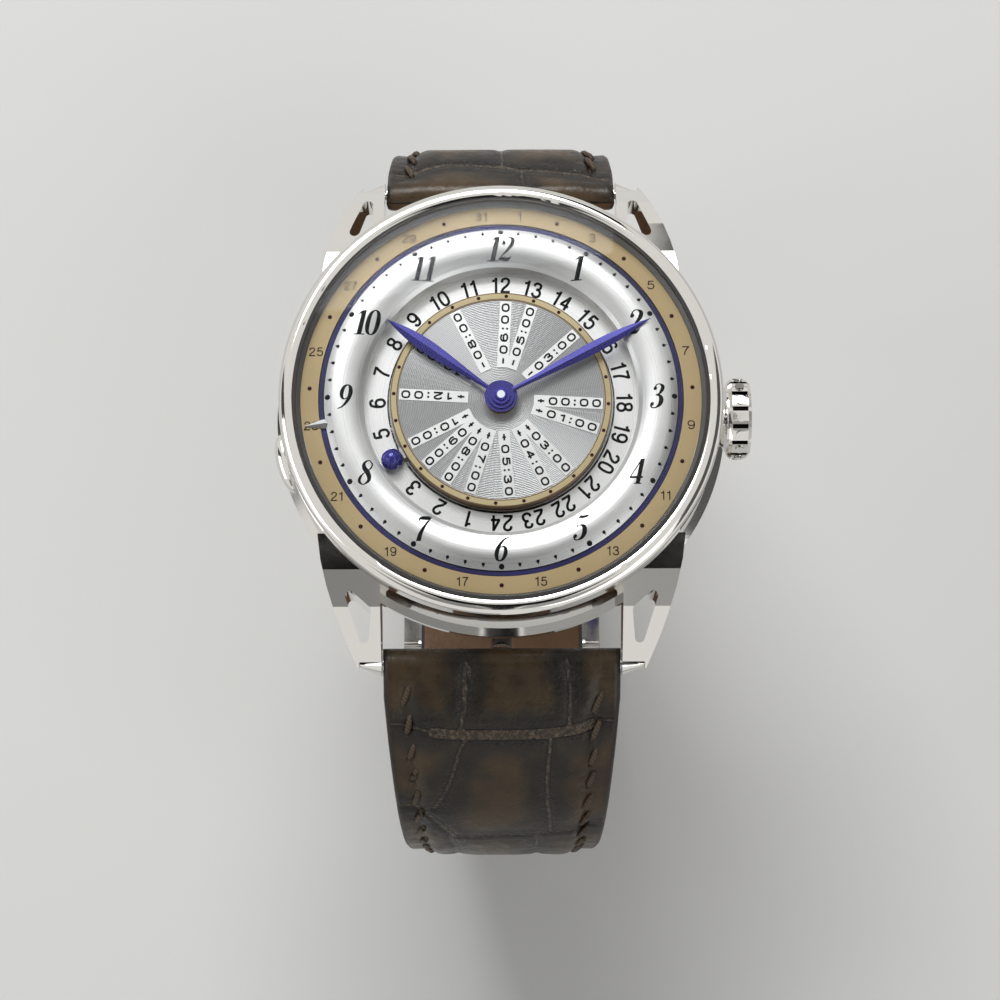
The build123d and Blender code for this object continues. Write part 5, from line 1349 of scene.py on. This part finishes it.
def waxedThread():
    # thick waxed linen, tone on tone, with its twist
    material, tree, shader, place = newMaterial("waxed linen thread", {
        "Specular IOR Level": 0.35, "Roughness": 0.5})
    twist = addNode(tree, "TexWave", {"Vector": place, "Scale": perMetre(0.9), "Distortion": 1.5},
                    bands_direction="DIAGONAL").outputs["Fac"]
    wire(shader, {
        "Base Color": addNode(tree, "ValToRGB", (twist,), [(0.2, "#41352A"), (0.8, "#564839")]),
        "Normal": addNode(tree, "Bump", {"Strength": 0.5, "Distance": 0.00006, "Height": twist})})
    return material


thread = waxedThread()


legPadding = {
    # each pair is where along the leg a change begins and how long it takes, below zero for one that fades
    "barPad": (1.0, 6.0),
    "tailPad": (26, 34),
    "shoulderBefore": 0.7,
    "grooveDepth": 0.16,
    "grooveWidth": 0.42,
    "groove": (0.6, 1.5),
    "crown": 0.10,
    "sunk": 0.12,
    "pressedDepth": 0.45,
    "pressed": (6, 6),
    "pressedEnd": (44, -10),
}


def legHeights(across, width, run):
    # height of the outer face above the lining side, before creases
    size, pads = strapSize, legPadding
    begins = {name: smooth((run - pads[name][0]) / pads[name][1])
              for name in ("barPad", "tailPad", "groove", "pressed", "pressedEnd")}
    pad = size["padRise"] + (size["tailPadRise"] - size["padRise"]) * begins["tailPad"]
    pad = size["barPadRise"] + (pad - size["barPadRise"]) * begins["barPad"]
    inside = width / 2 - np.abs(across) - size["stitchInset"]
    shoulder = smooth((inside + pads["shoulderBefore"]) / size["shoulderWidth"])
    groove = pads["grooveDepth"] * np.exp(-(inside / pads["grooveWidth"]) ** 2) * begins["groove"]
    crown = pads["crown"] * (1 - (2 * across / width) ** 2)
    # the padding is pressed flatter where the leg turns down beside the case
    pressed = pads["pressedDepth"] * begins["pressed"] * begins["pressedEnd"]
    return -pad * (1 - shoulder) - groove + crown - pads["sunk"] - pressed


def addMeasures(piece, away, rim):
    # what the leather's material reads: the distance to a crease and to the piece's side
    for title, values in (("away", away), ("rim", rim)):
        layer = piece.data.attributes.new(title, "FLOAT", "POINT")
        layer.data.foreach_set("value", np.ravel(values).astype(np.float32))


legMesh = {
    "acrossFace": 76,
    "acrossLining": 20,
    "nearRun": 48,
    "nearStep": 0.27,
    "farStep": 0.5,
    "noseDegrees": [15, 30, 44, 58, 72, 85],
    "farEndBefore": 0.2,
    "tipBacks": (0.16, 0.05, 0.0),
    "tipFlat": 0.55,
    "foldSwell": 3.5,
    "reliefFade": 1.2,
    "reliefHalf": 0.9,
    "edgeShare": 0.9,
    "edgeSteps": 6,
    "farAway": 9,
}


def makeLeg(name):
    leg, spec, mesh, look = strapLegs[name], strapSize, legMesh, creaseLook
    route = legRoute(leg)
    length = route[0][-1]
    nose, fold = spec["barThick"] / 2, spec["foldRadius"]
    bends = np.radians(mesh["noseDegrees"])
    # each station is (run, half thickness); None takes the leg's own thickness
    runs = [(-nose * math.sin(a), nose * math.cos(a)) for a in bends[::-1]]
    near = list(np.arange(0, min(mesh["nearRun"], length), mesh["nearStep"]))
    far = list(np.arange(near[-1] + mesh["farStep"], length - mesh["farEndBefore"], mesh["farStep"]))
    runs += [(run, None) for run in near + far]
    if leg["tip"]:
        tipHalf, blunt = legThickness(length) / 2, mesh["tipFlat"]
        runs += [(length - back, tipHalf * (blunt + (1 - blunt) * (back / mesh["tipBacks"][0]) ** 0.5))
                 for back in mesh["tipBacks"]]
    else:
        runs += [(length + fold * math.sin(a), fold * math.cos(a)) for a in [0, *bends]]
    run = np.array([r for r, half in runs])
    half = np.array([legThickness(r) / 2 if h is None else h for r, h in runs])
    if not leg["tip"]:
        # the leg swells a little towards the fold round the buckle's bar
        plain = np.array([h is None for r, h in runs])
        swell = smooth((run - (length - mesh["foldSwell"])) / mesh["foldSwell"])
        half = np.where(plain, half + (fold - half) * swell, half)
    inRoute = np.clip(run, 0, length)
    width = legWidth(inRoute, length, leg["tip"])
    place, normal = onRoute(route, inRoute)
    along = np.stack([normal[:, 1], -normal[:, 0]], 1) * leg["side"]
    place = place + along * (run - inRoute)[:, None]

    creases, wrinkles = legCreases(name, length)
    wide = width[:, None] / 2
    across = np.linspace(-1, 1, mesh["acrossFace"])[None, :] * (wide - spec["edgeRound"])
    runGrid = np.broadcast_to(run[:, None], across.shape)
    away, fine = distanceTo(across, runGrid, creases), distanceTo(across, runGrid, wrinkles)
    outside = np.maximum(away, 0)
    relief = (-look["depth"] * np.exp(-(outside / look["valley"]) ** 2)
              + look["puff"] * (1 - np.exp(-(outside / look["puffWidth"]) ** 2))
              - look["wrinkleDepth"] * np.exp(-(fine / look["wrinkleWidth"]) ** 2) - look["puff"])
    relief = relief * smooth((wide - np.abs(across)) / mesh["reliefFade"])
    relief = relief * smooth((run + nose) / nose)[:, None]
    # the nose round the bar and the fold keep their thickness inside the half round
    flat = np.clip(half[:, None] / mesh["reliefHalf"], 0, 1)
    top = half[:, None] + (legHeights(across, 2 * wide, runGrid) + relief) * flat

    # the section runs over the outer face, down one edge, back over the lining and up the other edge
    edge = np.minimum(spec["edgeRound"], half * mesh["edgeShare"])[:, None]
    low = -half[:, None]
    around = math.pi * np.linspace(0, 1, mesh["edgeSteps"] + 1)[1:-1]
    bulge, climb = wide - edge + edge * np.sin(around) ** 0.5, 0.5 - 0.5 * np.cos(around)
    lining = np.linspace(1, -1, mesh["acrossLining"])
    x = np.hstack([across, bulge, (wide - edge) * lining, -bulge])
    left, right = top[:, :1], top[:, -1:]
    z = np.hstack([top, right + (low - right) * climb, low + 0 * lining, low + (left - low) * climb])
    points = np.stack([x, place[:, :1] + normal[:, :1] * z, place[:, 1:] + normal[:, 1:] * z], 2)
    kinds = [0] * mesh["acrossFace"] + [1] * len(climb) + [2] * mesh["acrossLining"] + [1] * len(climb)
    count, last = len(kinds), (len(run) - 1) * len(kinds)
    strips = [a if a == b else 1 for a, b in zip(kinds, kinds[1:] + kinds[:1])]
    faces = ringQuads(len(run), count, turned=True)
    faces += [tuple(range(count)), tuple(range(last + count - 1, last - 1, -1))]
    piece = makePiece("leather_" + name, points.reshape(-1, 3), faces, leathers, name,
                      strips * (len(run) - 1) + [1, 1])
    rest = np.ones((len(run), 1)) * np.array([kind == 2 for kind in kinds[mesh["acrossFace"]:]])
    addMeasures(piece, np.hstack([away, 0 * rest + mesh["farAway"]]),
                np.hstack([wide - np.abs(across), rest]))
    return piece, route


def cutter(name, outline, depth, place, across, along, out):
    # a prism to cut with: outline points (across, along) carried depth to both sides along out, in mm
    points = [np.array(place) + a * np.array(across) + b * np.array(along) + level * np.array(out)
              for level in (-depth, depth) for a, b in outline]
    count = len(outline)
    faces = [tuple(range(count - 1, -1, -1)), tuple(range(count, 2 * count))] + ringQuads(2, count)
    return makePiece(name, points, faces, leathers, faceMaterial=[1] * len(faces), smooth=False)


def slotOutline(length, width, corners=9):
    # a slot with round ends, long in the second direction
    half, r = length / 2 - width / 2, width / 2
    top = [(r * math.cos(a), half + r * math.sin(a)) for a in np.linspace(0, math.pi, corners)]
    return top + [(-x, -y) for x, y in top]


def loopFrame(deg, r):
    # place on the loop at an angle from its lowest point, the loop's direction and the way out
    s, c = math.sin(math.radians(deg)), math.cos(math.radians(deg))
    return (0.0, r * s, strapSize["barZ"] - r * c), (0.0, c, s), (0.0, s, -c)


def cutWith(piece, cutters):
    for tool in cutters:
        step = piece.modifiers.new("cut", "BOOLEAN")
        step.operation = "DIFFERENCE"
        step.solver = "EXACT"
        step.object = tool
    graph = bpy.context.evaluated_depsgraph_get()
    done = bpy.data.meshes.new_from_object(piece.evaluated_get(graph), preserve_all_data_layers=True,
                                           depsgraph=graph)
    piece.modifiers.clear()
    old = piece.data
    piece.data = done
    bpy.data.meshes.remove(old)
    for tool in cutters:
        bpy.data.objects.remove(tool)


holes = {
    "usedDeg": -2.2,
    "pitch": 6.5,
    "length": 3.4,
    "usedLength": 5.0,
    "width": 2.1,
    "cutDepth": 2.6,
    "toCase": 4,
    "toTip": 2,
    "tongueSlot": (2.4, 8.4),
    "slotDepth": 3.4,
    "hingeDeg": 4.0,
    "acrossLeg": 14,
    "roundCorners": 28,
}


def legCutters(name):
    size, across, ahead, up = strapSize, (1.0, 0.0, 0.0), (0.0, 1.0, 0.0), (0.0, 0.0, 1.0)
    turn = turnAngles(holes["roundCorners"])
    bar, fold = ([(size[key] * math.cos(a), size[key] * math.sin(a)) for a in turn]
                 for key in ("barHole", "foldHole"))
    cutters = [cutter("barHole", bar, holes["acrossLeg"],
                      (0.0, strapLegs[name]["side"] * size["barY"], size["barZ"]), ahead, up, across)]
    if name == "strap_6":
        step = math.degrees(holes["pitch"] / (size["loopRadius"] + size["tailRise"]))
        for i in range(-holes["toCase"], holes["toTip"] + 1):
            deg = holes["usedDeg"] + i * step
            place, along, out = loopFrame(deg, size["loopRadius"] + tailRise(deg))
            length = holes["length"] if i else holes["usedLength"]
            cutters.append(cutter("hole", slotOutline(length, holes["width"]), holes["cutDepth"],
                                  place, across, along, out))
    else:
        place, along, out = loopFrame(holes["hingeDeg"], size["loopRadius"])
        cutters.append(cutter("foldHole", fold, holes["acrossLeg"], place, along, out, across))
        w, l = holes["tongueSlot"][0] / 2, holes["tongueSlot"][1] / 2
        shift = size["foldRadius"]
        slot = [(-w, shift - l), (w, shift - l), (w, shift + l), (-w, shift + l)]
        cutters.append(cutter("tongueSlot", slot, holes["slotDepth"], place, across, along, out))
    return cutters


stitches = {
    "pitch": 2.75,
    "length": 2.15,
    "lean": 0.75,
    "radius": 0.30,
    "rise": 0.08,
    "dive": 0.30,
    "firstAt": 0.3,
    "firstRun": 1.4,
    "lastRun12": 57.0,
    "lineStep": 0.5,
    "around": 8,
    "steps": 8,
}


def stitchLine(name, length):
    # the stitching's line as (across, along) points: down one side, round the tip, back up the other
    spec, tip, step = strapSize, strapLegs[name]["tip"], stitches["lineStep"]
    end = length - tip if tip else stitches["lastRun12"]
    down = [(-(legWidth(s) / 2 - spec["stitchInset"]), s) for s in np.arange(stitches["firstRun"], end, step)]
    x = down[-1][0]
    if tip:
        reach = tip - spec["stitchInset"]
        down += [(x * math.cos(a), end + reach * math.sin(a)) for a in np.linspace(0, math.pi / 2, 10)[1:]]
        return down + [(-x, s) for x, s in reversed(down[:-1])]
    return down + [(v, end) for v in np.arange(x + step, -x, step)] + [(-x, s) for x, s in reversed(down)]


def makeStitches(name, route):
    spec = stitches
    line = np.array(stitchLine(name, route[0][-1]))
    dist = np.concatenate([[0], np.cumsum(np.linalg.norm(np.diff(line, axis=0), axis=1))])
    chance = random.Random(strapLegs[name]["seed"] + 100)
    around, steps = spec["around"], spec["steps"]
    points, faces = [], []
    at = spec["firstAt"]
    while at + spec["length"] < dist[-1]:
        lean = spec["lean"] * chance.uniform(0.8, 1.2)
        path = []
        for i in range(steps + 1):
            t = i / steps
            here = at + t * spec["length"]
            (x, s), (xn, sn) = ([np.interp(d, dist, line[:, k]) for k in (0, 1)] for d in (here, here + 0.1))
            d = math.hypot(xn - x, sn - s) + 1e-9
            off = (t - 0.5) * lean
            x, s = x - (sn - s) / d * off, s + (xn - x) / d * off
            lift = spec["rise"] - (spec["rise"] + spec["dive"]) * abs(2 * t - 1) ** 4
            place, normal = onRoute(route, s)
            y, z = place + normal * (legThickness(s) / 2 + legHeights(x, legWidth(s), s) + lift)
            path.append(Vector((x, y, z)))
        first = len(points)
        for i, centre in enumerate(path):
            ahead = (path[min(i + 1, steps)] - path[max(i - 1, 0)]).normalized()
            sideways = ahead.cross(Vector((0.3, 0.5, 0.8))).normalized()
            other = ahead.cross(sideways)
            r = spec["radius"] * (0.75 + 0.25 * math.sin(math.pi * i / steps))
            points += [tuple(centre + sideways * (r * math.cos(a)) + other * (r * math.sin(a)))
                       for a in turnAngles(around)]
        faces += ringQuads(steps + 1, around, first)
        faces.append(tuple(first + k for k in range(around - 1, -1, -1)))
        faces.append(tuple(first + steps * around + k for k in range(around)))
        at += spec["pitch"] * chance.uniform(0.96, 1.04)
    makePiece("stitches_" + name, points, faces, [thread], name)


for name in strapLegs:
    piece, route = makeLeg(name)
    cutWith(piece, legCutters(name))
    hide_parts(name)
    makeStitches(name, route)
    print("leather", name, "length", round(float(route[0][-1]), 1), "faces", len(piece.data.polygons))

keepers = {
    "places": {"fixed_keeper": (12.0, "strap_12"), "loose_keeper": (20.5, "loose_keeper")},
    "width": 4.6,
    "wall": 1.0,
    "gap": 0.3,
    "cornerRadius": 0.95,
    "cornerSteps": 7,
    "flatStep": 0.45,
    "sectionCorners": 28,
}


def makeKeeper(name, spec):
    # a leather band folded round both layers of the strap
    deg, body = spec["places"][name]
    size, r = strapSize, spec["cornerRadius"]
    room = spec["gap"] + spec["wall"] / 2
    halfX = size["endWidth"] / 2 + room - r
    low = size["loopRadius"] - size["tailThick"] / 2 - room + r
    high = size["loopRadius"] + size["tailRise"] + size["tailThick"] / 2 + room - r
    path = []
    for cx, cr, start in ((halfX, high, 0), (-halfX, high, 90), (-halfX, low, 180), (halfX, low, 270)):
        path += [(cx + r * math.cos(a), cr + r * math.sin(a), math.cos(a), math.sin(a))
                 for a in np.radians(np.linspace(start, start + 90, spec["cornerSteps"]))]
    full = []
    for first, second in zip(path, path[1:] + path[:1]):
        count = max(1, round(math.dist(first[:2], second[:2]) / spec["flatStep"]))
        full += [[a + (b - a) * i / count for a, b in zip(first, second)] for i in range(count)]
    w, h = spec["width"] / 2, spec["wall"] / 2
    section = []
    for a in turnAngles(spec["sectionCorners"]):
        u = softPower(math.cos(a), 0.35) * w
        section.append((u, softPower(math.sin(a), 0.5) * h * (0.86 + 0.14 * (1 - (u / w) ** 2))))
    place, along, out = loopFrame(deg, 0.0)
    points = []
    for x, away, nx, nr in full:
        long = math.hypot(nx, nr)
        for u, v in section:
            px, pr = x + nx / long * v, away + nr / long * v
            points.append((px, place[1] + along[1] * u + out[1] * pr, place[2] + along[2] * u + out[2] * pr))
    strips = [1 if abs(u + un) / 2 > w * 0.9 else 0 if v + vn > 0 else 2
              for (u, v), (un, vn) in zip(section, section[1:] + section[:1])]
    piece = makePiece("leather_" + name, points, ringQuads(len(full), len(section), joined=True, turned=True),
                      leathers, body, strips * len(full))
    addMeasures(piece, [legMesh["farAway"]] * len(points), [w - abs(u) for u, v in section] * len(full))
    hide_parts(name)


for name in keepers["places"]:
    makeKeeper(name, keepers)
print("strap made")

low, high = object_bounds()
print("size", [round((high[i] - low[i]) * 1000, 2) for i in range(3)])
